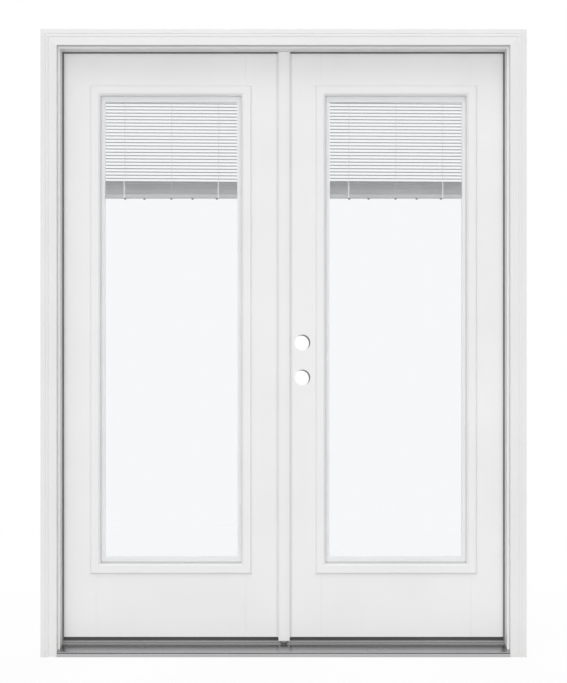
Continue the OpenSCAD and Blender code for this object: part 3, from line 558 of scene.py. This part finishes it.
# %% Soften the CAD pieces
WELD = 0.01 * MM
SHARP_ABOVE = radians(40)
EDGE_WIDTH = {
    "white_paint": 0.6 * MM, "side_casing_painted_shade": 0.6 * MM, "head_casing_painted_shade": 0.6 * MM, "foam": 0.6 * MM,
    "sill_cap": 0.4 * MM, "seal": 0.4 * MM, "sill_core": 0.4 * MM, "rail_paint": 0.4 * MM,
    "rail_white": 0.4 * MM, "lite_vinyl": 0.35 * MM, "slat_paint": 0.3 * MM, "sill_metal": 0.3 * MM,
    "hinge_steel": 0.25 * MM,
}


def soften(piece, width):
    """Weld, narrow bevel and smoothing, all as live modifiers."""
    weld = piece.modifiers.new("weld", "WELD")
    weld.merge_threshold = WELD
    if width:
        edge = piece.modifiers.new("edge", "BEVEL")
        edge.width = width
        edge.segments = 2
        edge.limit_method = "ANGLE"
        edge.angle_limit = SHARP_ABOVE
    smooth = piece.modifiers.new("smooth", "NODES")
    smooth.node_group = smooth_tree
    level = piece.modifiers.new("level", "WEIGHTED_NORMAL")
    level.keep_sharp = True


for node in nodes.values():
    soften(node, EDGE_WIDTH.get(node.data.materials[0].name))
print("softened", len(nodes), "CAD pieces")

# %% [markdown]
# ## Helpers for modelling by hand
# The pieces below are made as by hand: a cube, a cylinder or a grid is placed, drawn out, bevelled, cut or
# copied. These helpers hold the steps that come back again and again.

# %% Selecting, naming and settling


def deselect_all():
    """Leaves edit mode and deselects every object."""
    if bpy.context.mode != "OBJECT":
        bpy.ops.object.mode_set(mode="OBJECT")
    bpy.ops.object.select_all(action="DESELECT")


def select_only(piece):
    """Selects one piece and makes it active."""
    deselect_all()
    piece.select_set(True)
    bpy.context.view_layer.objects.active = piece


def named(name):
    """Names the new piece and its mesh."""
    piece = bpy.context.object
    piece.name = name
    piece.data.name = name
    return piece


def pick(piece, kind, test):
    """In edit mode, selects only the verts, edges or faces that pass the test."""
    bpy.ops.mesh.select_mode(type={"verts": "VERT", "edges": "EDGE", "faces": "FACE"}[kind])
    bpy.ops.mesh.select_all(action="DESELECT")
    mesh = bmesh.from_edit_mesh(piece.data)
    for part in getattr(mesh, kind):
        if test(part):
            part.select_set(True)
    mesh.select_flush_mode()
    bmesh.update_edit_mesh(piece.data)


def settle(piece):
    """Puts the place of a piece into its mesh, so its object sits at the origin."""
    select_only(piece)
    bpy.ops.object.transform_apply(location=True, rotation=True, scale=True)


# %% Making, copying and joining
Y = 1
Z = 2
NEAR = 0.1 * MM
ALONG_Y = (pi / 2, 0, 0)


def bar(name, middle, size):
    """A box of the given size round its middle."""
    deselect_all()
    bpy.ops.mesh.primitive_cube_add(size=1, location=middle)
    made = named(name)
    made.scale = size
    settle(made)
    return made


def rod(name, sides, radius, length, middle=(0, 0, 0), rotation=(0, 0, 0), scale=(1, 1, 1)):
    """A cylinder round its middle, upright unless it is turned."""
    deselect_all()
    bpy.ops.mesh.primitive_cylinder_add(vertices=sides, radius=radius, depth=length, location=middle,
                                        rotation=rotation)
    made = named(name)
    made.scale = scale
    settle(made)
    return made


def copy_of(piece, name, shift):
    """A copy with its own mesh, moved by shift."""
    select_only(piece)
    bpy.ops.object.duplicate()
    twin = named(name)
    twin.location = Vector(twin.location) + Vector(shift)
    settle(twin)
    return twin


def join(pieces, name):
    """Joins pieces into the first one."""
    deselect_all()
    for piece in pieces:
        piece.select_set(True)
    bpy.context.view_layer.objects.active = pieces[0]
    bpy.ops.object.join()
    return named(name)


# %% Shaping


def low_end(edge, axis):
    """The lowest coordinate of an edge along an axis."""
    return min(vert.co[axis] for vert in edge.verts)


def high_end(edge, axis):
    """The highest coordinate of an edge along an axis."""
    return max(vert.co[axis] for vert in edge.verts)


def round_edges(piece, test, width, steps, profile=0.5):
    """Bevels the edges that pass the test."""
    bpy.ops.object.mode_set(mode="EDIT")
    pick(piece, "edges", test)
    bpy.ops.mesh.bevel(offset=width, segments=steps, profile=profile, affect="EDGES")
    bpy.ops.object.mode_set(mode="OBJECT")


def draw_up(piece, moves):
    """Extrudes the upper end of a piece by each move in turn."""
    bpy.ops.object.mode_set(mode="EDIT")
    for move in moves:
        pick(piece, "faces", lambda face: face.normal.z > 0.7)
        bpy.ops.mesh.extrude_region_move(TRANSFORM_OT_translate={"value": move})
    bpy.ops.object.mode_set(mode="OBJECT")


def turn(piece, angle, axis):
    """Turns the whole mesh by the right-hand rule about an axis through the origin, in edit mode."""
    bpy.context.view_layer.objects.active = piece
    bpy.ops.object.mode_set(mode="EDIT")
    bpy.ops.mesh.select_all(action="SELECT")
    bpy.ops.transform.rotate(value=-angle, orient_axis=axis, center_override=(0, 0, 0))
    bpy.ops.object.mode_set(mode="OBJECT")


def apply_modifier(piece, kind, **settings):
    """Adds a modifier, sets it and applies it."""
    bpy.context.view_layer.objects.active = piece
    bpy.ops.object.modifier_add(type=kind)
    modifier = piece.modifiers[-1]
    for label, value in settings.items():
        setattr(modifier, label, value)
    bpy.ops.object.modifier_apply(modifier=modifier.name)


def repeat_down(piece, count, step):
    """Repeats a piece downwards with an Array modifier."""
    apply_modifier(piece, "ARRAY", count=count, use_relative_offset=False, use_constant_offset=True,
                   constant_offset_displace=(0, 0, -step))


def cut(piece, cutter):
    """Takes the cutter out of the piece with a Boolean modifier."""
    select_only(piece)
    apply_modifier(piece, "BOOLEAN", operation="DIFFERENCE", object=cutter)
    bpy.data.objects.remove(cutter)


def smooth_and_dress(piece, finish):
    """Smooths what is nearly flat on the selected piece and gives it a finish."""
    bpy.ops.object.shade_smooth_by_angle(angle=SMOOTH_BELOW)
    dress(piece, finish)


# %% [markdown]
# ## Blind slats
# Each blind hangs in the sealed gap between the panes: a head rail, thin crowned slats, and a bunch of
# slats that are already drawn up. A slat is a strip of coated aluminium a third of a millimetre thick.
# It could be a flat strip, but the crown is what shades every slat from light to dark. So one slat is made
# from a grid whose rows are lifted into a crown, then thickened, tilted and repeated by an Array modifier.
# The CAD slats only hold the place, so these replace them.

# %% Sizes of the blind, read from the CAD pieces
rail_low, rail_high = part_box("passive_blind_head_rail")
bunch_low, bunch_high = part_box("passive_blind_bunch")
slats_low, slats_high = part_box("passive_blind_slats")
DOOR_X = {"passive": (rail_low.x + rail_high.x) / 2, "active": -(rail_low.x + rail_high.x) / 2}
ACROSS = (DOOR_X["active"] - DOOR_X["passive"], 0, 0)
BLIND_Y = (rail_low.y + rail_high.y) / 2
HANG_Z = rail_low.z
SLAT_HALF = (slats_high.x - slats_low.x) / 2
SLAT_WIDTH = 12.7 * MM
SLAT_THICK = 0.3 * MM
SLAT_CROWN = 30 * MM
SLAT_TILT = radians(9)
SLAT_PITCH = 11.15 * MM
SLAT_COUNT = 24
BLIND_LEAN = radians(0.36)
FIRST_SLAT_Z = HANG_Z - 2.7 * MM
LAST_SLAT_Z = FIRST_SLAT_Z - (SLAT_COUNT - 1) * SLAT_PITCH
BUNCH_TOP = LAST_SLAT_Z - 0.75 * SLAT_PITCH
print("blind hangs at", HANG_Z, "slats half", SLAT_HALF, "bunch", bunch_low.z, bunch_high.z)

# %% One slat: a grid with its rows lifted into a crown


def flat_slat(name, columns, rows):
    """A level slat round the origin with its crown upwards."""
    deselect_all()
    bpy.ops.mesh.primitive_grid_add(x_subdivisions=columns, y_subdivisions=rows, size=1)
    slat = named(name)
    bpy.ops.object.mode_set(mode="EDIT")
    bpy.ops.transform.resize(value=(2 * SLAT_HALF, SLAT_WIDTH, 1))
    for row in range(rows + 1):
        y = SLAT_WIDTH * (row / rows - 0.5)
        lift = (SLAT_CROWN ** 2 - y ** 2) ** 0.5 - SLAT_CROWN
        pick(slat, "verts", lambda vert: abs(vert.co.y - y) < 0.1 * NEAR)
        bpy.ops.transform.translate(value=(0, 0, lift))
    bpy.ops.object.mode_set(mode="OBJECT")
    apply_modifier(slat, "SOLIDIFY", thickness=SLAT_THICK, offset=0)
    return slat


slats = flat_slat("passive_slats", 24, 8)
turn(slats, -SLAT_TILT, "X")
turn(slats, BLIND_LEAN, "Y")
print("faces of one slat:", len(slats.data.polygons))

# %% The hanging slats of both blinds
slats.location = (DOOR_X["passive"], BLIND_Y, FIRST_SLAT_Z)
settle(slats)
repeat_down(slats, SLAT_COUNT, SLAT_PITCH)
# The hanging slats take a darker copy of the pile's paint, as painted shade.
smooth_and_dress(slats, "slat_paint")
hanging_slats = {"passive": slats, "active": copy_of(slats, "active_slats", ACROSS)}
print("slats in a blind:", SLAT_COUNT, "faces:", len(slats.data.polygons))

# %% [markdown]
# ## Ladders and lift cords
# Three ladders carry the slats: a cord in front, a cord behind, and a thin rung under every slat. A lift
# cord runs through the middle. A cord could be a curve with a round bevel, which would have to be made a
# mesh afterwards. Here it starts as a short cylinder whose upper end is extruded up to the head rail, one
# slat at a time, and the rungs are one thin bar, repeated by an Array modifier.

# %% One ladder with its rungs
LADDER_X = 160 * MM
CORD_HALF_GAP = 7.4 * MM
CORD_R = 0.28 * MM
CORD_ROOM = 0.4 * MM
CORD_SIDES = 8
LIFT_ASIDE = 2 * MM
LIFT_R = 0.8 * CORD_R
RUNG_R = 0.18 * MM
RUNG_SIDES = 6


def cord(name, x, y, foot, radius):
    """An upright cord from foot to the head rail, with its rings a slat's pitch apart."""
    made = rod(name, CORD_SIDES, radius, SLAT_PITCH, (x, y, foot + SLAT_PITCH / 2))
    moves = []
    reached = foot + SLAT_PITCH
    while reached < HANG_Z - 0.1 * NEAR:
        step = min(SLAT_PITCH, HANG_Z - reached)
        moves.append((0, 0, step))
        reached += step
    draw_up(made, moves)
    return made


def rungs(name, x):
    """Thin bars from the front cord to the back cord, one under each hanging slat."""
    made = rod(name, RUNG_SIDES, RUNG_R, 2 * CORD_HALF_GAP, rotation=ALONG_Y)
    turn(made, -SLAT_TILT, "X")
    bpy.ops.object.mode_set(mode="EDIT")
    bpy.ops.mesh.subdivide(number_cuts=1)
    bpy.ops.object.mode_set(mode="OBJECT")
    start = FIRST_SLAT_Z - SLAT_THICK - x * tan(BLIND_LEAN)
    made.location = (DOOR_X["passive"] + x, BLIND_Y, start)
    settle(made)
    repeat_down(made, SLAT_COUNT, SLAT_PITCH)
    return made


ladder_parts = []
for x in (-LADDER_X, 0, LADDER_X):
    cord_x = DOOR_X["passive"] + x
    foot = BUNCH_TOP - x * tan(BLIND_LEAN) + CORD_ROOM
    ladder_parts.append(cord("front_cord", cord_x, BLIND_Y - CORD_HALF_GAP, foot, CORD_R))
    ladder_parts.append(cord("back_cord", cord_x, BLIND_Y + CORD_HALF_GAP, foot, CORD_R))
    ladder_parts.append(cord("lift_cord", cord_x + LIFT_ASIDE, BLIND_Y, foot, LIFT_R))
    ladder_parts.append(rungs("rungs", x))
ladders = join(ladder_parts, "passive_ladders")
smooth_and_dress(ladders, "ladder_cord")
hanging_cords = {"passive": ladders, "active": copy_of(ladders, "active_ladders", ACROSS)}
print("ladder faces:", len(ladders.data.polygons))

# %% [markdown]
# ## The bunch of raised slats
# Under the hanging slats, the rest of them lie on each other above the bottom rail. A ribbed block would
# be lighter to build, but the pile looks grey because every edge has a dark slit above it. So it is made
# of real slats: one thin slat is copied with a step that shrinks towards the bottom, where the weight
# presses the pile together, and that swells and narrows from bundle to bundle. The pile falls a little to
# the right at its top and is level at its bottom, and the slats shift a hair to and fro.

# %% Steps from slat to slat
PILE_COUNT = 64
PILE_BUNDLE = 8
PILE_UNEVEN = 0.5
PILE_GROWTH = 1.2
PILE_CURVE = 1.5
PILE_LOW = bunch_low.z
PILE_HIGH = BUNCH_TOP - 1.3 * MM
steps = []
for index in range(PILE_COUNT):
    loose = 1 + PILE_GROWTH * (index / PILE_COUNT) ** PILE_CURVE
    swell = 1 + PILE_UNEVEN * sin(2 * pi * index / PILE_BUNDLE)
    steps.append(loose * swell)
unit = (PILE_HIGH - PILE_LOW - SLAT_THICK) / sum(steps)
print("pile of", PILE_COUNT, "slats, step from", unit, "to", unit * steps[-1])

# %% Pile up the slats
PILE_TILT_LOW = radians(4)
PILE_TILT_HIGH = radians(9)
PILE_SHIFT = 0.45
PILE_WOBBLE = 0.03
shuffle = random.Random(7)
single = flat_slat("pile_slat", 8, 6)
pile = []
height = PILE_LOW + SLAT_THICK
for index, step in enumerate(steps):
    share = index / (PILE_COUNT - 1)
    place = (DOOR_X["passive"], BLIND_Y + shuffle.uniform(-PILE_SHIFT, PILE_SHIFT) * MM, height)
    lean = share * BLIND_LEAN + shuffle.uniform(-PILE_WOBBLE, PILE_WOBBLE) * radians(1)
    slat = copy_of(single, "pile_slat", (0, 0, 0))
    turn(slat, -(PILE_TILT_LOW + share * (PILE_TILT_HIGH - PILE_TILT_LOW)), "X")
    turn(slat, lean, "Y")
    slat.location = place
    settle(slat)
    pile.append(slat)
    height += unit * step
bpy.data.objects.remove(single)
bunch = join(pile, "passive_bunch_slats")
smooth_and_dress(bunch, "pile_paint")
print(bunch.name, "faces:", len(bunch.data.polygons))

# %% [markdown]
# The ladder cords gather in front of the pile and behind it, and run down to the bottom rail. Each
# gathered ladder is a few cords side by side, and it shows as a light stripe. A flat ribbon would show the
# same from the front, but not from the side, so each cord is drawn up in steps that wander a little.

# %% Gathered cords in front of the pile and behind it
LOOP_R = 0.65 * MM
LOOP_SPREAD = 1.15 * MM
LOOP_STEPS = 18
LOOP_WANDER = 0.2
LOOP_Y = 7.7 * MM
LOOP_ROOM = 1.4 * MM
LOOP_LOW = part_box("passive_blind_bottom_rail")[0].z + 5 * MM
LOOPS = ((-LADDER_X, 4, LOOP_LOW), (0, 1, PILE_LOW), (LADDER_X, 4, LOOP_LOW))


def gathered(name, x, y, foot, top):
    """A cord that wanders sideways as it goes up."""
    step = (top - foot) / LOOP_STEPS
    made = rod(name, CORD_SIDES, LOOP_R, step, (x, y, foot + step / 2))
    asides = [shuffle.uniform(-LOOP_WANDER, LOOP_WANDER) * MM for _ in range(LOOP_STEPS - 1)]
    draw_up(made, [(aside, 0, step) for aside in asides])
    return made


loop_parts = []
for x, count, foot in LOOPS:
    top = BUNCH_TOP - x * tan(BLIND_LEAN) - LOOP_ROOM
    for side in (-1, 1):
        for index in range(count):
            loop_x = DOOR_X["passive"] + x + (index - (count - 1) / 2) * LOOP_SPREAD
            loop_parts.append(gathered("loop", loop_x, BLIND_Y + side * LOOP_Y, foot, top))
loops = join(loop_parts, "passive_gathered_cords")
smooth_and_dress(loops, "ladder_cord")
print("gathered cords:", len(loop_parts))

# %% [markdown]
# Five dark plugs close the holes under the bottom rail, where the cords are knotted. From the front they
# are only dark dots, but they stand a little proud, which a painted dot would not. A plug is a short
# cylinder with a rounded lower rim.

# %% Plugs under the bottom rail
KNOT_R = 3.9 * MM
KNOT_PLACES = (-158 * MM, -92 * MM, 0, 72 * MM, 155 * MM)
KNOT_TALL = 4.2 * MM
KNOT_PROUD = 0.4 * MM
KNOT_ROUND = 0.9 * MM
KNOT_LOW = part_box("passive_blind_bottom_rail")[0].z - KNOT_PROUD
knot_parts = []
for x in KNOT_PLACES:
    middle = (DOOR_X["passive"] + x, BLIND_Y, KNOT_LOW + KNOT_TALL / 2)
    knot = rod("knot", 24, KNOT_R, KNOT_TALL, middle)
    round_edges(knot, lambda edge: high_end(edge, Z) < KNOT_LOW + NEAR, KNOT_ROUND, 3)
    knot_parts.append(knot)
knots = join(knot_parts, "passive_rail_plugs")
smooth_and_dress(knots, "foam")
rail_plugs = {"passive": knots, "active": copy_of(knots, "active_rail_plugs", ACROSS)}
print("plugs under a rail:", len(KNOT_PLACES), "from", KNOT_LOW)

# %% Copy the pile and its cords to the other door
piles = {"passive": bunch, "active": copy_of(bunch, "active_bunch_slats", ACROSS)}
gathers = {"passive": loops, "active": copy_of(loops, "active_gathered_cords", ACROSS)}
print("copied:", piles["active"].name, gathers["active"].name)

# %% [markdown]
# ## Moving blinds
# When a blind is drawn up, its bunch and bottom rail rise. The real slats join the bunch one by one, which
# one joint can't show. Here the hanging slats and their ladders ride on the door with meshes of their own,
# and everything below them rides on the blind's own body.

# %% Let the blinds move with their doors
for door in DOORS:
    for piece, node in ((hanging_slats[door], "blind_slats"), (hanging_cords[door], "blind_ladders")):
        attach(piece, door + "_door")
        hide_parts(door + "_" + node)
        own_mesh(piece)
    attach(piles[door], door + "_blind")
    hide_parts(door + "_blind_bunch")
    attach(gathers[door], door + "_blind")
    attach(rail_plugs[door], door + "_blind")

# %% [markdown]
# ## Dark strip in the nose of the sill, as painted shade
# The front edge of the sill deck has a slot along its whole length, with a dark strip in it as painted
# shade.
# A dark stripe on the deck would look alike in front, but the slot would stay empty. So the strip is a
# piece:
# it starts as a cube, is drawn out to the length of the slot, and its front edges are rounded.

# %% Dark strip in the slot, as painted shade
SLOT_Z = (11.6 * MM, 14.4 * MM)
SLOT_Y = (-26.2 * MM, -19.2 * MM)
SLOT_STRIP_HALF = 758 * MM
SLOT_STRIP_ROUND = 0.6 * MM
slot_strip = bar("nose_slot_shade", (0, sum(SLOT_Y) / 2, sum(SLOT_Z) / 2),
             (2 * SLOT_STRIP_HALF, SLOT_Y[1] - SLOT_Y[0], SLOT_Z[1] - SLOT_Z[0]))
round_edges(slot_strip, lambda edge: high_end(edge, Y) < SLOT_Y[0] + NEAR, SLOT_STRIP_ROUND, 3)
# The strip takes the dark seal finish, as painted shade in the slot.
smooth_and_dress(slot_strip, "seal")
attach(slot_strip, "frame")
print(slot_strip.name, "faces:", len(slot_strip.data.polygons))

# %% [markdown]
# ## Dark pad under the astragal, as painted shadow
# A small dark pad on the sill under the foot of the astragal is painted shadow, and its finish is painted
# darker still towards its foot. It could be sculpted, but it is so small that a few steps are enough. It
# starts as a cylinder, is pressed flatter, loses the half that would stand in the sill cap to a bisect, is
# drawn in towards its foot, and has its upper rim rounded.

# %% Dark pad on the sill, as painted shadow
astragal_low, astragal_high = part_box("astragal")
ASTRAGAL_X = (astragal_low.x + astragal_high.x) / 2
CAP_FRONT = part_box("sill_cap")[0].y
LEDGE_Z = 30 * MM
PAD_HALF = 16 * MM
PAD_DEEP = 12 * MM
PAD_FOOT_SHARE = 0.45
PAD_ROUND = 2.0 * MM
PAD_TOP = astragal_low.z - 0.7 * MM
pad = rod("sill_shadow_pad", 48, PAD_HALF, PAD_TOP - LEDGE_Z, (ASTRAGAL_X, CAP_FRONT, (PAD_TOP + LEDGE_Z) / 2),
          scale=(1, PAD_DEEP / PAD_HALF, 1))
bpy.ops.object.mode_set(mode="EDIT")
bpy.ops.mesh.select_all(action="SELECT")
bpy.ops.mesh.bisect(plane_co=(0, CAP_FRONT, 0), plane_no=(0, 1, 0), use_fill=True, clear_outer=True)
pick(pad, "verts", lambda vert: vert.co.z < LEDGE_Z + NEAR)
bpy.ops.transform.resize(value=(PAD_FOOT_SHARE, 1, 1), center_override=(ASTRAGAL_X, CAP_FRONT, LEDGE_Z))


def on_pad_rim(edge):
    """True for the edges of the upper rim, apart from the one against the sill cap."""
    return low_end(edge, Z) > PAD_TOP - NEAR and low_end(edge, Y) < CAP_FRONT - NEAR


round_edges(pad, on_pad_rim, PAD_ROUND, 3)
# The pad's dark finish is painted shadow under the astragal.
smooth_and_dress(pad, "pad_painted_shadow")
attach(pad, "frame")
print(pad.name, "faces:", len(pad.data.polygons))

# %% [markdown]
# ## Coves beside the astragal
# The base of the astragal flares into a small cove on each side, which shows as a soft grey line between
# it and the slabs; the coves are also painted greyer than the slabs, as painted shade. Its outline could be
# swept along the astragal, but one bevel is quicker: a square bar whose outer front edge is bevelled with a
# hollow profile. Both are fixed to the astragal, the one that laps the active door stays just clear of it,
# and they end below the bulb of the head weatherstrip.

# %% Hollow coves
COVE = 9 * MM
COVE_LIP = 0.3 * MM
COVE_ROOM = 0.4 * MM
COVE_PROFILE = 0.12
COVE_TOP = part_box("head_weatherstrip")[0].z - COVE_ROOM
slab_low, slab_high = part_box("active_lock_stile")
cove_y = slab_low.y - COVE_ROOM - COVE / 2
cove_parts = []


def outer_front(edge, side, middle_x):
    """True for the upright edge of a cove that faces outwards and to the front."""
    return all(side * (vert.co.x - middle_x) > 0 and vert.co.y < cove_y for vert in edge.verts)


for side, edge_x in ((-1, astragal_low.x), (1, astragal_high.x)):
    cove_x = edge_x + side * COVE / 2
    cove = bar("cove", (cove_x, cove_y, (slab_low.z + COVE_TOP) / 2), (COVE, COVE, COVE_TOP - slab_low.z))
    round_edges(cove, lambda edge: outer_front(edge, side, cove_x), COVE - COVE_LIP, 10, COVE_PROFILE)
    cove_parts.append(cove)
coves = join(cove_parts, "astragal_coves")
# The coves take a greyer paint, as painted shade beside the astragal.
smooth_and_dress(coves, "cove_painted_shade")
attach(coves, "passive_door")
print(coves.name, "faces:", len(coves.data.polygons), "top", round(COVE_TOP, 4))

# %% [markdown]
# ## Painted shade in the lock bores
# A dark crescent stands at the upper right inside each bore, at the middle of the slab, as painted shade.
# Its outline could be drawn point by point, but two circles give both arcs exactly: it is a disc from which
# a
# Boolean modifier takes a round hole a little off its centre.

# %% Dark crescents, as painted shade
BORE_R = 26.9 * MM
BORE_X = 64.3 * MM
BORE_HEIGHTS = (934.3 * MM, 1053.7 * MM)
BORE_SIDES = 64
CRESCENT_DEEP = 4 * MM
CRESCENT_Y = (slab_low.y + slab_high.y) / 2
CUT_OFF_CENTRE = Vector((-4.4 * MM, 0, -3.0 * MM))
ledge_parts = []
for bore_z in BORE_HEIGHTS:
    centre = Vector((BORE_X, CRESCENT_Y, bore_z))
    ledge = rod("ledge", BORE_SIDES, BORE_R, CRESCENT_DEEP, centre, ALONG_Y)
    cut(ledge, rod("crescent_cutter", BORE_SIDES, BORE_R, 3 * CRESCENT_DEEP, centre + CUT_OFF_CENTRE, ALONG_Y))
    ledge_parts.append(ledge)
ledges = join(ledge_parts, "bore_ledges")
# The crescents take a dark finish: they are painted shade inside the bores.
dress(ledges, "bore_painted_shade")
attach(ledges, "active_door")
print(ledges.name, "faces:", len(ledges.data.polygons))

# %% [markdown]
# ## Strip of painted shade at the foot of the lites
# A thin grey strip lies on the glass along the foot of each lite, as painted shade where the lip meets the
# glass. A line in the finish of the glass would spoil its clearness, so the strip is a piece of its own. It
# starts as a cube, is drawn out to the width of the lite, and its front edges are rounded.

# %% Strip of painted shade at the foot of the lites
LITE_FACE = 39.3 * MM
STRIP_TALL = 3.5 * MM
STRIP_LIFT = 1.7 * MM
STRIP_THICK = 0.8 * MM
STRIP_ROUND = 0.3 * MM
for door in DOORS:
    lite_low, lite_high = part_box(door + "_outer_lite_frame")
    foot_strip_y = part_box(door + "_outer_pane")[0].y - STRIP_THICK / 2
    foot = lite_low.z + LITE_FACE + STRIP_LIFT
    middle = ((lite_low.x + lite_high.x) / 2, foot_strip_y, foot + STRIP_TALL / 2)
    width = lite_high.x - lite_low.x - 2 * LITE_FACE
    foot_strip = bar(door + "_painted_shade_strip", middle, (width, STRIP_THICK, STRIP_TALL))
    round_edges(foot_strip, lambda edge: high_end(edge, Y) < foot_strip_y, STRIP_ROUND, 2)
    # The strip's grey is painted shade along the foot of the glass.
    smooth_and_dress(foot_strip, "painted_shade_strip")
    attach(foot_strip, door + "_door")
    print(foot_strip.name, "at", middle)

# %% [markdown]
# ## Hinge screws
# Each hinge leaf is held by four countersunk screws. They show when a door is open. A bump could hint at
# them, but a real recess catches the light from any side. One screw head is a short cylinder with a
# bevelled rim, two bars cut its cross recess with a Boolean modifier, and copies go into every leaf.

# %% One screw head with its cross recess
SCREW_R = 4.3 * MM
SCREW_PROUD = 0.35 * MM
SCREW_SUNK = 1.2 * MM
SCREW_ROUND = 0.25 * MM
RECESS_LONG = 5.2 * MM
RECESS_WIDE = 1.3 * MM
RECESS_DEEP = 1.4 * MM
screw_tall = SCREW_PROUD + SCREW_SUNK
screw = rod("screw", 24, SCREW_R, screw_tall)
round_edges(screw, lambda edge: low_end(edge, Z) > 0, SCREW_ROUND, 2)
for long_x, long_y in ((RECESS_WIDE, RECESS_LONG), (RECESS_LONG, RECESS_WIDE)):
    cut(screw, bar("recess_bar", (0, 0, screw_tall / 2), (long_x, long_y, RECESS_DEEP)))
screw.location.z = (SCREW_PROUD - SCREW_SUNK) / 2
settle(screw)
print("screw faces:", len(screw.data.polygons))

# %% Set the screws into the hinge leaves
SCREW_PLACES = ((-9.5, -38), (-20, -14), (-20, 14), (-9.5, 38))
LEAVES = {
    "left_frame_leaves": ("frame", 1), "right_frame_leaves": ("frame", -1),
    "passive_hinge_leaves": ("passive_door", -1), "active_hinge_leaves": ("active_door", 1),
}
HINGE_HALF = 50.8 * MM
LEAF_EDGE_Y = 0.116
PLATE_Y = LEAF_EDGE_Y - 25 * MM
leaves_low, leaves_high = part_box("left_frame_leaves")
lowest = leaves_low.z + HINGE_HALF
highest = leaves_high.z - HINGE_HALF
HINGE_HEIGHTS = [lowest, (lowest + highest) / 2, highest]


def leaf_face(node, facing):
    """Where the plate's open face lies: the plates hold most of a leaf's depth in Y."""
    plate = [vert.co.x for vert in nodes[node].data.vertices if vert.co.y < PLATE_Y]
    return max(plate) if facing > 0 else min(plate)


for node, (body, facing) in LEAVES.items():
    face_x = leaf_face(node, facing)
    heads = []
    for middle in HINGE_HEIGHTS:
        for aside, rise in SCREW_PLACES:
            head = copy_of(screw, "screw", (0, 0, 0))
            turn(head, facing * pi / 2, "Y")
            head.location = (face_x, LEAF_EDGE_Y + aside * MM, middle + rise * MM)
            settle(head)
            heads.append(head)
    screws = join(heads, node.replace("leaves", "screws"))
    smooth_and_dress(screws, "hinge_steel")
    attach(screws, body)
    print(screws.name, "face at", face_x, "screws", len(heads))
bpy.data.objects.remove(screw)

# %% [markdown]
# ## Screw plugs on the room side
# A lite frame is two halves screwed together through the slab, and small vinyl plugs hide the screw
# heads on the room side. One plug is a low cylinder with a rounded rim and a dished face, copied round
# the frame. The side with the track of the blind's slider has none, so that the slider runs free.

# %% One plug
PLUG_R = 4.2 * MM
PLUG_PROUD = 0.25 * MM
PLUG_SUNK = 1.0 * MM
PLUG_ROUND = 0.2 * MM
PLUG_RIM = 1.2 * MM
PLUG_DISH = 0.12 * MM
plug = rod("plug", 24, PLUG_R, PLUG_PROUD + PLUG_SUNK, rotation=(-pi / 2, 0, 0))
round_edges(plug, lambda edge: low_end(edge, Y) > 0, PLUG_ROUND, 2)
bpy.ops.object.mode_set(mode="EDIT")
pick(plug, "faces", lambda face: face.normal.y > 0.9)
bpy.ops.mesh.inset(thickness=PLUG_RIM, depth=-PLUG_DISH)
bpy.ops.object.mode_set(mode="OBJECT")
print("plug faces:", len(plug.data.polygons))

# %% Plugs of the inner lite frames
PLUG_IN = 13 * MM
PLUG_ROWS = 6
PLUG_COLUMNS = 2
for door in DOORS:
    low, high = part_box(door + "_inner_lite_frame")
    track_low, track_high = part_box(door + "_blind_slider")
    places = []
    for x in (low.x + PLUG_IN, high.x - PLUG_IN):
        if track_low.x - PLUG_R < x < track_high.x + PLUG_R:
            continue
        for index in range(PLUG_ROWS):
            places.append((x, low.z + (high.z - low.z) * (index + 0.5) / PLUG_ROWS))
    for index in range(PLUG_COLUMNS):
        x = low.x + (high.x - low.x) * (index + 0.5) / PLUG_COLUMNS
        places += [(x, low.z + PLUG_IN), (x, high.z - PLUG_IN)]
    y = high.y + (PLUG_PROUD - PLUG_SUNK) / 2
    plugs = join([copy_of(plug, "plug", (x, y, z)) for x, z in places], door + "_lite_plugs")
    smooth_and_dress(plugs, "lite_vinyl")
    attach(plugs, door + "_door")
    print(plugs.name, len(places))
bpy.data.objects.remove(plug)
